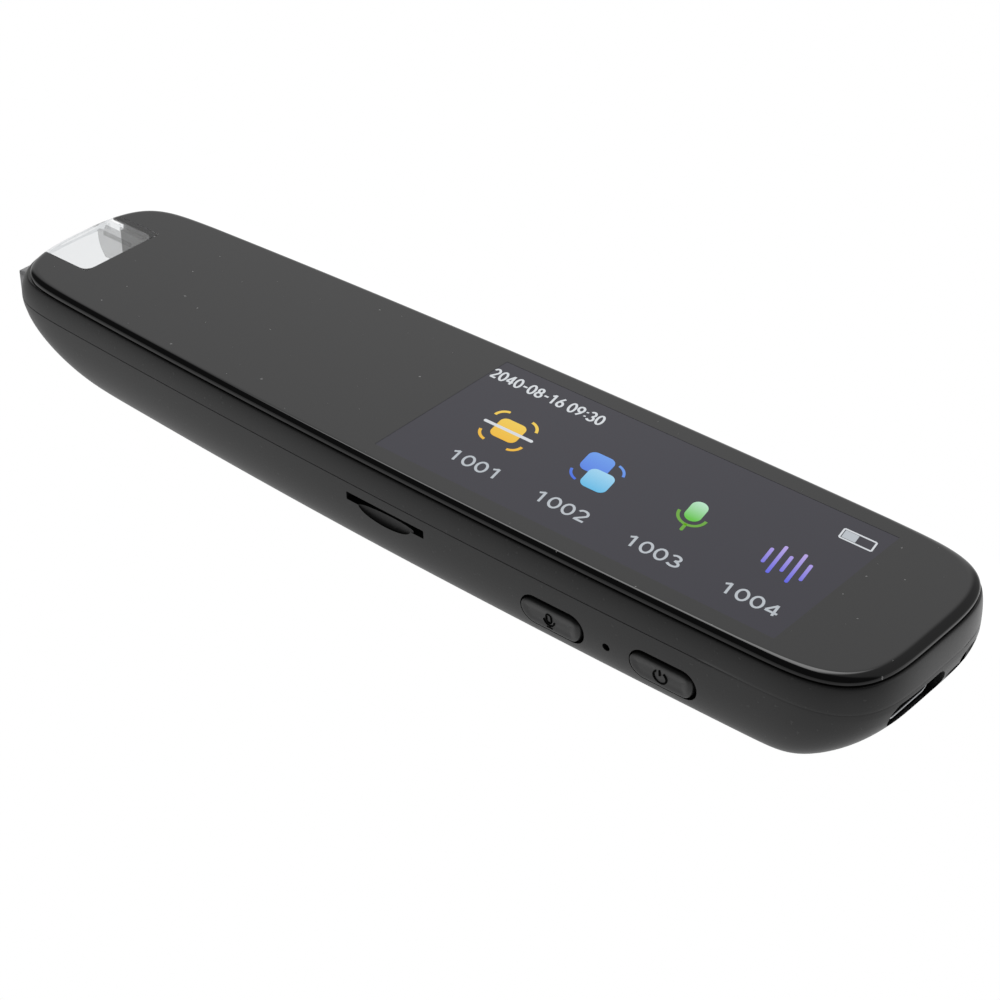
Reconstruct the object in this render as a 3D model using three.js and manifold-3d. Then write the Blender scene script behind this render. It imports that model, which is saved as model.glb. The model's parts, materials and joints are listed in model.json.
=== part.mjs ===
// A handheld scanning pen, in millimetres, +Z up, lying on its back with the cover glass on top.
// X runs from the scanning tip (low X) to the end with the charging port (high X).
// The keys and the card slot are on the low Y side.
// While the pieces are made, X is zero at the tip of the cover glass and Z is zero at the underside.
import * as THREE from 'three';
import { mergeVertices } from 'three/addons/utils/BufferGeometryUtils.js';
import Module from 'manifold-3d';

const wasm = await Module();
wasm.setup();

// Whole body
const bodyThickness = 14.5;
const bandHeight = 4.9;
const glassLength = 145;
const tipHalfWidth = 13.1;
const midHalfWidth = 15.93;
const usbHalfWidth = 15.6;
const tipRoundLength = 28;
const tipRoundLengthShare = 10;
const tipRoundWidthShare = 2.62;
const usbRoundLength = 15.5;
const usbRoundLengthShare = 3.52;
const usbRoundWidthShare = 3.87;
const endSteps = 12;
const endStepShare = 3;
const sideSteps = 5;

// Housing shells
const bandGrow = 0.4;
const shoulderRadius = 0.45;
const shoulderSteps = 4;
const bandSteps = 3;
const topTipReach = 0.8;
const noseReach = 2.05;
const usbReach = 0.2;
const tipReachLength = 20;
const usbReachLength = 25;
const shellWall = 1.6;
const floorThickness = 1.4;
const edgeRadius = 3.3;
const wallDraftShare = 0.027;
const bowLength = 12.4;
const sternLength = 11.5;
const sternLift = 0.6;
const sternBlendLength = 26;
const sternCurveShare = 3;
const seamGroove = 0.12;
const tongueThickness = 0.8;
const tongueSetback = 0.15;
const tongueHeight = 0.8;
const tongueClearance = 0.12;
const deckThickness = 1.0;
const wallSteps = 4;
const edgeSteps = 5;

// Cover glass, printed film and glue
const glassThickness = 1.0;
const glassEdgeDrop = 0.75;
const glassEdgeInset = 0.85;
const glassEdgeSteps = 5;
const filmThickness = 0.1;
const filmInset = 0.35;
const glueThickness = 0.15;
const glueInset = 0.7;
const glueWidth = 1.5;
const windowDepth = 9.1;
const windowMargin = 0.9;
const windowCorner = 1.4;

// Display stack
const displayEndMargin = 13.7;
const displayLength = 60.6;
const displaySideMargin = 2.75;
const displayCorner = 0.5;
const panelTipMargin = 3.2;
const panelUsbMargin = 3.6;
const panelSideMargin = 0.75;
const panelThickness = 0.9;
const touchMargin = 0.75;
const touchThickness = 0.2;
const backlightThickness = 1.0;
const trayWall = 0.3;
const trayClearance = 0.15;
const deckOpeningClearance = 0.8;
const flexThickness = 0.2;
const flexWidth = 8;
const flexSlotClearance = 0.5;
const flexStepShare = 3;
const connectorLength = 3.4;
const connectorHeight = 0.9;
const displayFlexRun = 6.9;
const displayFlexRunShares = [0.333, 0.5];
const displayFlexDropShares = [0.2, 0.6, 0.875];
const touchFlexRun = 2.2;
const touchFlexRunShare = 0.333;
const touchFlexDropShares = [0.17, 0.6, 0.9];
const touchFlexInset = 1.85;
const touchFlexWidth = 5;

// Main board and what sits on it
const boardThickness = 1.0;
const boardTipGap = 1.15;
const boardClearance = 0.45;
const canPlace = 25.3;
const canHeight = 1.3;
const canGap = 0.4;
const canWall = 0.2;
const canLength = 20;
const canHalfWidth = 8;
const chipInset = 3;
const chipHeight = 0.8;
const memoryGap = 5;
const memoryLength = 8;
const memoryWidthShare = 0.5;
const memoryHeight = 1.0;
const radioPlace = 0.5;
const radioLength = 11;
const radioHalfWidth = 5;
const radioHeight = 1.2;
const antennaGap = 2;
const antennaLength = 16;
const antennaHalfWidth = 4;
const antennaThickness = 0.15;
const bossRadius = 1.8;
const pilotRadius = 0.75;
const screwTipGap = 4;
const screwSlotGap = 3;
const screwStagger = 1;
const screwEndGap = 23;
const screwNearInset = 2.5;
const screwClearance = 0.1;
const screwFloor = 1.9;
const screwHeadRadius = 1.35;
const screwHeadHeight = 0.8;
const screwHeadShares = [0.75, 0.5];
const screwRecessRadius = 0.55;
const screwRecessDepth = 0.4;

// Battery and speaker
const batteryTipGap = 2.2;
const batteryEndGap = 22;
const batterySideMargin = 4.93;
const batteryRoom = 1.5;
const batteryRound = 1.2;
const tapeThickness = 0.2;
const tapeInset = 1.5;
const wireRadius = 0.45;
const wireSpacing = 1.6;
const wireInset = 3;
const wireRun = 4.5;
const wireRunShare = 0.25;
const wireSteps = 10;
const wireDrop = 1.2;
const socketSize = 4.5;
const socketHeight = 1.8;
const speakerGap = 7;
const speakerLength = 18;
const speakerSideMargin = 3.93;
const speakerHalfWidth = 6.5;
const speakerRoom = 2.5;
const gasketThickness = 0.6;
const gasketWidth = 1.2;
const soundSlotCount = 6;
const soundSlotPitch = 2.1;
const soundSlotWidth = 1.0;
const soundSlotLength = 6.4;

// Side keys, their switches and the microphone between them
const keyHeightShare = 0.469;
const keyHalfHeightShare = 0.229;
const keyHalfLength = 4.9;
const powerKeyEndGap = 26.6;
const keySpacing = 16.7;
const keyProud = 0.1;
const keyEdge = 0.35;
const keyEdgeSteps = 3;
const keyRimWidth = 0.3;
const keyDishShare = 0.5;
const keyDishDepth = 0.4;
const keyDishSteps = 3;
const keyRoundShare = 0.97;
const keyRoundSteps = 4;
const keyClearance = 0.14;
const keyTravel = 0.35;
const keyFlange = 0.7;
const keyFlangeInset = 0.9;
const keyFlangeThickness = 0.7;
const keyFlangeGap = 0.2;
const switchGap = 0.7;
const switchInset = 0.1;
const switchDepth = 1.5;
const switchCorner = 0.26;
const plungerRadius = 1.0;
const plungerClearance = 0.08;
const plungerEngage = 0.5;
const plungerRoom = 0.15;
const keyBoardThickness = 0.5;
const keyBoardMargin = 2.2;
const keyBoardRise = 0.3;
const bracketThickness = 0.8;
const bracketFoot = 3.2;
const pinholeRadius = 0.55;
const microphoneLength = 3.6;
const microphoneHeight = 2.6;
const microphoneDepth = 1.0;
const bootSize = 2.8;
const bootCorner = 0.47;
const bootClearance = 0.15;
const keyFlexWidth = 5;
const keyFlexPlace = 4.2;
const keyFlexLap = 2.6;

// Card slot and socket
const slotGap = 2.8;
const slotLength = 13.1;
const slotDrop = 0.8;
const slotHalfHeight = 0.58;
const slotCorner = 0.45;
const scoopPlace = 6.7;
const scoopHalfLength = 4.9;
const scoopDepth = 1.05;
const scoopHalfHeight = 1.35;
const socketMargin = 0.55;
const socketDepth = 14;
const socketWall = 0.2;
const socketBackWall = 0.8;
const socketCageHeight = 1.45;
const socketGap = 0.3;
const cardMouthLength = 11.8;

// Charging port and cord eyelet at the end
const portSide = -3.4;
const portDrop = 1.2;
const portHalfLength = 5.7;
const portHalfHeight = 2.0;
const portHoleDepth = 3.7;
const shellSetback = 1.1;
const shellHalfLength = 4.47;
const shellHalfHeight = 1.6;
const shellThickness = 0.3;
const shellDepth = 7.4;
const shellRoundShare = 0.98;
const shellRoundSteps = 7;
const insulatorBack = 1.5;
const insulatorGap = 0.06;
const tongueHalfLength = 3.35;
const contactTongueThickness = 0.7;
const contactTongueSetback = 0.7;
const notchClearance = 0.4;
const eyeletSide = 4.8;
const eyeletDrop = 1.0;
const eyeletRadius = 1.15;
const eyeletStretchShare = 1.35;
const eyeletTurnShare = 0.36;
const eyeletBlockLength = 7.8;
const eyeletBlockGap = 0.73;
const eyeletBlockFloor = 2.7;

// Scanning head
const headSideMargin = 3.9;
const headRise = 1.4;
const headSink = 2.3;
const headProud = 0.45;
const headEdge = 0.6;
const headEdgeSteps = 3;
const headCorner = 0.5;
const headSetback = 2.05;
const headHeelShare = 0.5;
const lipSteps = 5;
const cheekLength = 1.2;
const headTravel = 0.4;
const headClearance = 0.2;
const headHoleMargin = 1.6;
const visorSetback = 0.1;
const visorMargin = 0.2;
const visorGap = 0.35;
const armThickness = 1.3;
const armHeight = 1.8;
const armRise = 0.3;
const nibSwitchInset = 0.2;
const nibSwitchLength = 3.4;
const nibSwitchWidth = 3.6;
const nibSwitchHeight = 2.6;
const nibPlungerRadius = 0.6;
const nibPlungerOut = 1.3;
const mouthMargin = 1.0;
const mouthStart = 1.6;
const mouthEnd = 9.0;
const mouthCorner = 1.6;
const chuteStart = 1.9;
const chuteLength = 9.5;
const chuteArmGap = 0.6;
const chuteWall = 0.8;
const chuteCorner = 1.0;
const chuteGap = 0.35;
const chuteEyeHalfWidth = 4.2;
const chuteEyeSill = 3.8;
const chuteEyeLintel = 1.65;

// Camera and lamps behind the scanning head
const cameraBowGap = 4.6;
const cameraHeightShare = 0.516;
const cameraTilt = 18;
const barrelRadiusShare = 0.249;
const barrelLength = 5.2;
const barrelWall = 0.8;
const barrelBoreDepth = 1.2;
const lensThickness = 0.6;
const lensGap = 0.3;
const sensorSizeShare = 0.7;
const sensorThickness = 0.8;
const sensorGap = 0.45;
const holderHalfWidth = 4.6;
const holderLength = 3.0;
const holderDrop = 1.85;
const holderClearance = 0.3;
const lampBoardGap = 0.6;
const lampBoardLength = 3.4;
const lampBoardHalfWidth = 6;
const lampBoardThickness = 0.6;
const lampSize = 1.6;
const lampHeight = 0.7;
const lampSpacing = 3.6;

// Shared by all cuts
const overrun = 1;
const roundSegments = 20;
const smallSegments = 14;
const cornerSteps = 4;
const fineCornerSteps = 3;
const portSteps = 6;

// Heights that follow from the sizes above
const tubHeight = bodyThickness - bandHeight;
const sternHeight = tubHeight - sternLift;
const glassBottom = bodyThickness - glassThickness;
const filmBottom = glassBottom - filmThickness;
const deckTop = filmBottom - glueThickness;
const deckBottom = deckTop - deckThickness;
const touchBottom = filmBottom - touchThickness;
const panelBottom = touchBottom - panelThickness;
const backlightBottom = panelBottom - backlightThickness;
const trayBottom = backlightBottom - trayWall;
const boardTop = trayBottom - canGap - canHeight;
const boardBottom = boardTop - boardThickness;
const batteryBottom = floorThickness + tapeThickness;
const batteryTop = boardBottom - batteryRoom;
const speakerTop = boardBottom - speakerRoom;
const keyHeight = tubHeight * keyHeightShare;
const keyHalfHeight = tubHeight * keyHalfHeightShare;
const keyFlangeHalfHeight = keyHalfHeight - keyFlangeInset;
const keyBoardHalfHeight = keyHalfHeight + keyBoardRise;
const switchSize = (keyHalfHeight - switchInset) * 2;
const screwLow = floorThickness + screwFloor;
const slotHeight = boardBottom - slotDrop;
const portHeight = boardBottom - portDrop;
const eyeletHeight = boardBottom - eyeletDrop;
const headTop = tubHeight + headRise;
const headBottom = boardBottom - headSink;
const armBottom = headBottom + armRise;
const innerHeight = deckBottom - floorThickness;
const chuteEyeBottom = floorThickness + chuteEyeSill;
const chuteEyeTop = deckBottom - chuteEyeLintel;
const cameraZ = floorThickness + innerHeight * cameraHeightShare;
const barrelRadius = innerHeight * barrelRadiusShare;
const barrelBore = barrelRadius - barrelWall;
const sensorSize = innerHeight * sensorSizeShare;
const holderTop = deckBottom - holderDrop;

// Widths that follow from the sizes above
const displayHalfWidth = Math.min(midHalfWidth, usbHalfWidth) - displaySideMargin;
const panelHalfWidth = displayHalfWidth + panelSideMargin;
const trayOffset = trayClearance + trayWall;
const touchFlexSide = displayHalfWidth - touchFlexInset - touchFlexWidth;
const batteryHalfWidth = midHalfWidth - batterySideMargin;
const wireSide = batteryHalfWidth - wireInset;
const memoryHalfWidth = batteryHalfWidth * memoryWidthShare;
const speakerSide = midHalfWidth - speakerSideMargin - speakerHalfWidth;
const eyeletBlockSide = portSide + shellHalfLength + eyeletBlockGap;
const headHalfWidth = tipHalfWidth - headSideMargin;
const armInner = headHalfWidth - armThickness;
const chuteHalfWidth = armInner - chuteArmGap;
const windowHalfWidth = chuteHalfWidth - windowMargin;
const visorHalfWidth = windowHalfWidth + visorMargin;
const mouthHalfWidth = chuteHalfWidth - mouthMargin;

// Places along X that follow from the sizes above
const cameraX = bowLength + cameraBowGap;
const boardStart = cameraX + barrelLength / 2 + sensorGap + sensorThickness + boardTipGap;
const nibSwitchStart = boardStart + nibSwitchInset;
const batteryStart = boardStart + screwTipGap + bossRadius + batteryTipGap;
const displayEnd = glassLength - displayEndMargin;
const displayStart = displayEnd - displayLength;
const panelStart = displayStart - panelTipMargin;
const panelEnd = displayEnd + panelUsbMargin;
const canStart = displayStart + canPlace;
const canEnd = canStart + canLength;
const memoryStart = canStart - memoryGap - memoryLength;
const radioStart = panelStart + radioPlace;
const antennaStart = boardStart + antennaGap;
const powerKeyX = glassLength - powerKeyEndGap;
const functionKeyX = powerKeyX - keySpacing;
const slotStart = displayStart - slotGap;
const slotEnd = slotStart + slotLength;
const speakerStart = slotEnd + speakerGap;
const batteryEnd = speakerStart - batteryEndGap;
const shellFront = glassLength - shellSetback;
const shellBack = shellFront - shellDepth;
const eyeletBlockStart = glassLength - eyeletBlockLength;
const chuteEnd = chuteStart + chuteLength;
const lampBoardStart = chuteEnd + lampBoardGap;
const noseFront = -noseReach - bandGrow;
const lipFront = noseFront - headProud;
const lipBack = noseFront + headSetback;
const armEnd = nibSwitchStart - nibPlungerOut;
const armBowShare = (tubHeight - armBottom + shellWall) / tubHeight;
const headHoleEnd = bowLength * armBowShare ** 2 + headHoleMargin;
const screwNearSide = screwNearInset - batteryHalfWidth;
const screwPlaces = [
  [boardStart + screwTipGap, screwNearSide],
  [slotEnd + screwSlotGap, batteryHalfWidth],
  [slotEnd + screwSlotGap + screwStagger, screwNearSide],
  [glassLength - screwEndGap, batteryHalfWidth],
];

const group = new THREE.Group();

const finishes = {
  glass: { color: 0x0c0c0d, roughness: 0.06, metalness: 0 },
  film: { color: 0x050505, roughness: 0.3, metalness: 0 },
  black: { color: 0x1b1b1c, roughness: 0.5, metalness: 0 },
  clear: { color: 0xc9ccce, roughness: 0.12, metalness: 0 },
  milky: { color: 0xe4e6e6, roughness: 0.4, metalness: 0 },
  rubber: { color: 0x242424, roughness: 0.85, metalness: 0 },
  board: { color: 0x123a26, roughness: 0.55, metalness: 0 },
  flex: { color: 0x8a5a1e, roughness: 0.5, metalness: 0 },
  steel: { color: 0xb9bcc0, roughness: 0.32, metalness: 1 },
  chip: { color: 0x17181a, roughness: 0.6, metalness: 0 },
  foil: { color: 0x9fa3a8, roughness: 0.45, metalness: 0.6 },
  screen: { color: 0x1c1e26, roughness: 0.15, metalness: 0 },
  red: { color: 0x9c1c18, roughness: 0.55, metalness: 0 },
  lamp: { color: 0xf1ecc8, roughness: 0.3, metalness: 0 },
};

function add(name, geometry, finish, parent = group) {
  geometry.computeVertexNormals();
  const mesh = new THREE.Mesh(geometry, new THREE.MeshStandardMaterial(finishes[finish]));
  mesh.name = name;
  parent.add(mesh);
  return mesh;
}

// Turns a closed three.js geometry into a solid that can be joined and cut.
function solid(geometry) {
  const bare = geometry.index ? geometry.clone() : mergeVertices(geometry.clone());
  bare.deleteAttribute('normal');
  bare.deleteAttribute('uv');
  const merged = mergeVertices(bare);
  return new wasm.Manifold(new wasm.Mesh({
    numProp: 3,
    vertProperties: new Float32Array(merged.attributes.position.array),
    triVerts: new Uint32Array(merged.index.array),
  }));
}

function fromSolid(made) {
  const mesh = made.getMesh();
  const geometry = new THREE.BufferGeometry();
  geometry.setAttribute('position', new THREE.BufferAttribute(mesh.vertProperties, mesh.numProp));
  geometry.setIndex(new THREE.BufferAttribute(mesh.triVerts, 1));
  return geometry;
}

function cut(base, ...tools) {
  return tools.reduce((left, tool) => left.subtract(solid(tool)), base);
}

// Simple closed forms, given by their limits along each axis
function block(x0, x1, y0, y1, z0, z1) {
  const geometry = new THREE.BoxGeometry(x1 - x0, y1 - y0, z1 - z0);
  return geometry.translate((x0 + x1) / 2, (y0 + y1) / 2, (z0 + z1) / 2);
}

// The points of a rounded rectangle, counter-clockwise
function roundedLoop(u0, u1, v0, v1, radius, steps) {
  const corners = [[u1 - radius, v0 + radius], [u1 - radius, v1 - radius], [u0 + radius, v1 - radius],
    [u0 + radius, v0 + radius]];
  return corners.flatMap(([u, v], corner) => Array.from({ length: steps + 1 }, (_, i) => {
    const turn = (corner - 1 + i / steps) * Math.PI / 2;
    return [u + radius * Math.cos(turn), v + radius * Math.sin(turn)];
  }));
}

function roundedShape(u0, u1, v0, v1, radius, steps) {
  const points = roundedLoop(u0, u1, v0, v1, radius, steps);
  return new THREE.Shape(points.map(([u, v]) => new THREE.Vector2(u, v)));
}

function extrude(shape, depth) {
  return new THREE.ExtrudeGeometry(shape, { depth, bevelEnabled: false, curveSegments: headEdgeSteps });
}

function plate(x0, x1, y0, y1, z0, z1, radius, steps = cornerSteps) {
  return extrude(roundedShape(x0, x1, y0, y1, radius, steps), z1 - z0).translate(0, 0, z0);
}

// A plate whose outline lies in the XZ plane, between two Y places
function sidePlate(x0, x1, z0, z1, y0, y1, radius, steps = cornerSteps) {
  const geometry = extrude(roundedShape(x0, x1, z0, z1, radius, steps), y1 - y0);
  return geometry.rotateX(Math.PI / 2).translate(0, y1, 0);
}

// A plate whose outline lies in the YZ plane, between two X places
function endPlate(y0, y1, z0, z1, x0, x1, radius, steps = cornerSteps) {
  const geometry = extrude(roundedShape(y0, y1, z0, z1, radius, steps), x1 - x0);
  return geometry.rotateX(Math.PI / 2).rotateZ(Math.PI / 2).translate(x0, 0, 0);
}

function rodZ(x, y, z0, z1, radius, segments = smallSegments) {
  const geometry = new THREE.CylinderGeometry(radius, radius, z1 - z0, segments);
  return geometry.rotateX(Math.PI / 2).translate(x, y, (z0 + z1) / 2);
}

function rodY(x, z, y0, y1, radius, segments = smallSegments) {
  const geometry = new THREE.CylinderGeometry(radius, radius, y1 - y0, segments);
  return geometry.translate(x, (y0 + y1) / 2, z);
}

function rodX(y, z, x0, x1, radius, segments = smallSegments) {
  const geometry = new THREE.CylinderGeometry(radius, radius, x1 - x0, segments);
  return geometry.rotateZ(Math.PI / 2).translate((x0 + x1) / 2, y, z);
}

// Half the body's width: a curve through its widths at the tip, at the middle and at the port end
function sideHalfWidth(x) {
  const t = x / glassLength;
  const fromTip = tipHalfWidth * (1 - t) * (1 - 2 * t);
  const fromEnd = usbHalfWidth * t * (2 * t - 1);
  return fromTip + midHalfWidth * 4 * t * (1 - t) + fromEnd;
}

// One rounded end: how far each of its points is from the end, and its share of the full width
function endProfile(length, lengthShare, widthShare) {
  return Array.from({ length: endSteps + 1 }, (_, i) => {
    const along = (i / endSteps) ** endStepShare;
    return { distance: along * length, share: (1 - (1 - along) ** lengthShare) ** (1 / widthShare) };
  });
}

// The plan outline of the cover glass, counter-clockwise from its tip
function planOutline() {
  const tip = endProfile(tipRoundLength, tipRoundLengthShare, tipRoundWidthShare)
    .map(({ distance, share }) => [distance, share * sideHalfWidth(distance)]);
  const usb = endProfile(usbRoundLength, usbRoundLengthShare, usbRoundWidthShare)
    .map(({ distance, share }) => {
      const x = glassLength - distance;
      return [x, share * sideHalfWidth(x)];
    });
  const straight = glassLength - tipRoundLength - usbRoundLength;
  const sides = Array.from({ length: sideSteps }, (_, i) => {
    const x = tipRoundLength + straight * (i + 1) / (sideSteps + 1);
    return [x, sideHalfWidth(x)];
  });
  const half = [...tip, ...sides, ...usb.reverse()];
  const near = half.map(([x, y]) => [x, -y]);
  const far = half.slice(1, -1).reverse();
  return [...near, ...far];
}

const outline = planOutline();

// Moves each point of a loop outwards along its own normal.
function grown(loop, distance) {
  return loop.map(([x, y], i) => {
    const [ax, ay] = loop[(i + loop.length - 1) % loop.length];
    const [bx, by] = loop[(i + 1) % loop.length];
    const length = Math.hypot(bx - ax, by - ay);
    return [x + distance * (by - ay) / length, y - distance * (bx - ax) / length];
  });
}

const clamp01 = (value) => Math.min(1, Math.max(0, value));

// The housing reaches further than the glass at both ends.
function reached(loop, tipReach, endReach) {
  return loop.map(([x, y]) => {
    const tipShare = clamp01(1 - x / tipReachLength);
    const endShare = clamp01(1 - (glassLength - x) / usbReachLength);
    return [x - tipReach * tipShare + endReach * endShare, y];
  });
}

const atHeight = (loop, z) => loop.map(([x, y]) => [x, y, z]);

function flatFaces(ring) {
  return THREE.ShapeUtils.triangulateShape(ring.map(([x, y]) => new THREE.Vector2(x, y)), []);
}

// Skins a stack of equal loops, lowest first, and closes both ends.
function loft(rings) {
  const count = rings[0].length;
  const positions = rings.flat().flat();
  const index = [];
  for (let r = 0; r + 1 < rings.length; r += 1) {
    for (let i = 0; i < count; i += 1) {
      const j = (i + 1) % count;
      const low = r * count;
      const high = low + count;
      index.push(low + i, low + j, high + j, low + i, high + j, high + i);
    }
  }
  const top = (rings.length - 1) * count;
  for (const [a, b, c] of flatFaces(rings[0])) index.push(a, c, b);
  for (const [a, b, c] of flatFaces(rings.at(-1))) index.push(top + a, top + b, top + c);
  const geometry = new THREE.BufferGeometry();
  geometry.setAttribute('position', new THREE.Float32BufferAttribute(positions, 3));
  geometry.setIndex(index);
  return geometry;
}

// Skins loops that are stacked along Y, highest Y first.
function loftAlongY(rings) {
  return loft(rings.map((ring) => ring.map(([x, y, z]) => [x, z, -y]))).rotateX(Math.PI / 2);
}

function slab(loop, z0, z1) {
  return loft([atHeight(loop, z0), atHeight(loop, z1)]);
}

// One loop of the tub below the parting line. A wall of zero gives its outer face.
function tubLoop(z, wall) {
  const depth = tubHeight - z;
  const low = wall > 0 ? floorThickness : 0;
  const radius = edgeRadius - wall;
  const turned = clamp01((low + radius - z) / radius);
  const inset = wall + wallDraftShare * depth + radius * (1 - Math.sqrt(1 - turned ** 2));
  const reach = Math.min(tubHeight, depth + wall);
  const bow = bowLength * (reach / tubHeight) ** 2;
  const sternTurn = clamp01((reach - tubHeight + sternHeight) / sternHeight);
  const stern = sternLength * (1 - Math.sqrt(1 - sternTurn ** 2));
  const middle = glassLength / 2;
  const loop = grown(reached(outline, noseReach, usbReach), bandGrow - inset);
  return loop.map(([x, y]) => {
    const tipShare = clamp01(1 - x / middle);
    const sternShare = clamp01(1 - (glassLength - x) / sternBlendLength) ** sternCurveShare;
    return [x + bow * Math.min(1, tipShare) - stern * sternShare, y];
  });
}

// One loop of the band between the parting line and the shoulder under the glass
function bandLoop(z, wall) {
  const share = clamp01((deckTop - z) / (deckTop - tubHeight));
  const eased = Math.sin(share * Math.PI / 2);
  const shoulder = clamp01(1 - (deckTop - z) / shoulderRadius);
  const inset = wall + shoulderRadius * (1 - Math.sqrt(1 - shoulder ** 2));
  const reach = topTipReach + (noseReach - topTipReach) * eased;
  return grown(reached(outline, reach, usbReach), bandGrow - inset);
}

// Equally spaced values from one to another
function spread(from, to, steps) {
  return Array.from({ length: steps + 1 }, (_, i) => from + (to - from) * i / steps);
}

// Heights of the tub's loops: close together round the bottom edge, then up the wall
function tubHeights(low, radius) {
  const corner = spread(0, Math.PI / 2, edgeSteps).map((turn) => low + radius * (1 - Math.cos(turn)));
  return [...corner, ...spread(low + radius, tubHeight - seamGroove, wallSteps).slice(1)];
}

function tubForm(wall, low, radius) {
  return tubHeights(low, radius).map((z) => atHeight(tubLoop(z, wall), z));
}

function outerTub() {
  const rings = tubForm(0, 0, edgeRadius);
  rings.push(atHeight(grown(tubLoop(tubHeight, 0), -seamGroove), tubHeight));
  return loft(rings);
}

function innerTub(wall) {
  const rings = tubForm(wall, floorThickness, edgeRadius - wall);
  rings.push(atHeight(tubLoop(tubHeight, wall), tubHeight + overrun));
  return loft(rings);
}

// How far out the side wall is at the height of the keys
function tubWallY(x) {
  return sideHalfWidth(x) + bandGrow - wallDraftShare * (tubHeight - keyHeight);
}

// The housing's tub with its ports, slots, bosses and scanning mouth
function lowerHousing() {
  const cavity = solid(innerTub(shellWall));
  const hull = solid(outerTub());
  const rebateLoop = grown(tubLoop(tubHeight, 0), tongueThickness - shellWall);
  const rebate = slab(rebateLoop, tubHeight - tongueHeight, tubHeight + overrun);
  let tub = hull.subtract(cavity).subtract(solid(rebate));
  for (const [x, y] of screwPlaces) {
    const boss = solid(rodZ(x, y, floorThickness / 2, boardBottom, bossRadius));
    tub = tub.add(boss);
    tub = cut(tub, rodZ(x, y, screwLow - boardThickness, boardBottom + overrun, pilotRadius));
  }
  tub = tub.add(eyeletBlock(hull));
  tub = cut(tub, ...keyHoles(), pinhole(), cardSlot(), cardScoop(), portHole(), eyelet(), ...soundSlots());
  tub = cut(tub, headHole(headTop + overrun), scanMouth(tubHeight));
  return tub;
}

function keyHoles() {
  const halfLength = keyHalfLength + keyClearance;
  const halfHeight = keyHalfHeight + keyClearance;
  return [functionKeyX, powerKeyX].map((x) => {
    const outside = tubWallY(x) + overrun;
    const inside = tubWallY(x) - shellWall - overrun;
    return sidePlate(x - halfLength, x + halfLength, keyHeight - halfHeight, keyHeight + halfHeight, -outside,
      -inside, halfHeight * keyRoundShare, keyRoundSteps);
  });
}

function pinhole() {
  const x = (functionKeyX + powerKeyX) / 2;
  return rodY(x, keyHeight, -tubWallY(x) - overrun, -tubWallY(x) + shellWall + overrun, pinholeRadius);
}

function cardSlot() {
  const wallY = tubWallY(slotStart);
  return sidePlate(slotStart, slotEnd, slotHeight - slotHalfHeight, slotHeight + slotHalfHeight,
    -wallY - overrun, -wallY + shellWall + overrun, slotCorner, fineCornerSteps);
}

// A fingernail scoop under the card slot
function cardScoop() {
  const x = slotStart + scoopPlace;
  const ball = new THREE.SphereGeometry(1, roundSegments, smallSegments);
  ball.scale(scoopHalfLength, scoopDepth, scoopHalfHeight);
  return ball.translate(x, -tubWallY(x), slotHeight - slotHalfHeight);
}

function portHole() {
  return endPlate(portSide - portHalfLength, portSide + portHalfLength, portHeight - portHalfHeight,
    portHeight + portHalfHeight, shellFront - portHoleDepth, glassLength + usbReach + overrun,
    portHalfHeight * keyRoundShare, portSteps);
}

// The solid corner that the wrist cord's eyelet is bored through
function eyeletBlock(hull) {
  const zone = block(eyeletBlockStart, glassLength + overrun, eyeletBlockSide, usbHalfWidth + overrun,
    eyeletHeight - eyeletBlockFloor, tubHeight - tongueHeight);
  return hull.intersect(solid(zone));
}

// The bore enters beside the port and comes out round the corner.
function eyelet() {
  const turn = eyeletTurnShare * Math.PI;
  const bore = new THREE.CylinderGeometry(eyeletRadius, eyeletRadius, usbHalfWidth * 2, roundSegments);
  bore.scale(eyeletStretchShare, 1, 1).rotateZ(Math.PI / 2 - turn);
  return bore.translate(glassLength, eyeletSide, eyeletHeight);
}

function soundSlots() {
  const middle = speakerStart + speakerLength / 2;
  const half = soundSlotWidth / 2;
  const y0 = speakerSide - soundSlotLength / 2;
  return Array.from({ length: soundSlotCount }, (_, i) => {
    const x = middle + (i - (soundSlotCount - 1) / 2) * soundSlotPitch;
    return plate(x - half, x + half, y0, y0 + soundSlotLength, -overrun, floorThickness + overrun,
      half * keyRoundShare);
  });
}

// The opening in the nose that the scanning head slides in
function headHole(top) {
  const width = headHalfWidth + headClearance;
  return endPlate(-width, width, headBottom - headClearance, top, lipFront - overrun, headHoleEnd,
    headClearance);
}

function scanMouth(top) {
  return plate(mouthStart, mouthEnd, -mouthHalfWidth, mouthHalfWidth, -overrun, top, mouthCorner);
}

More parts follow.
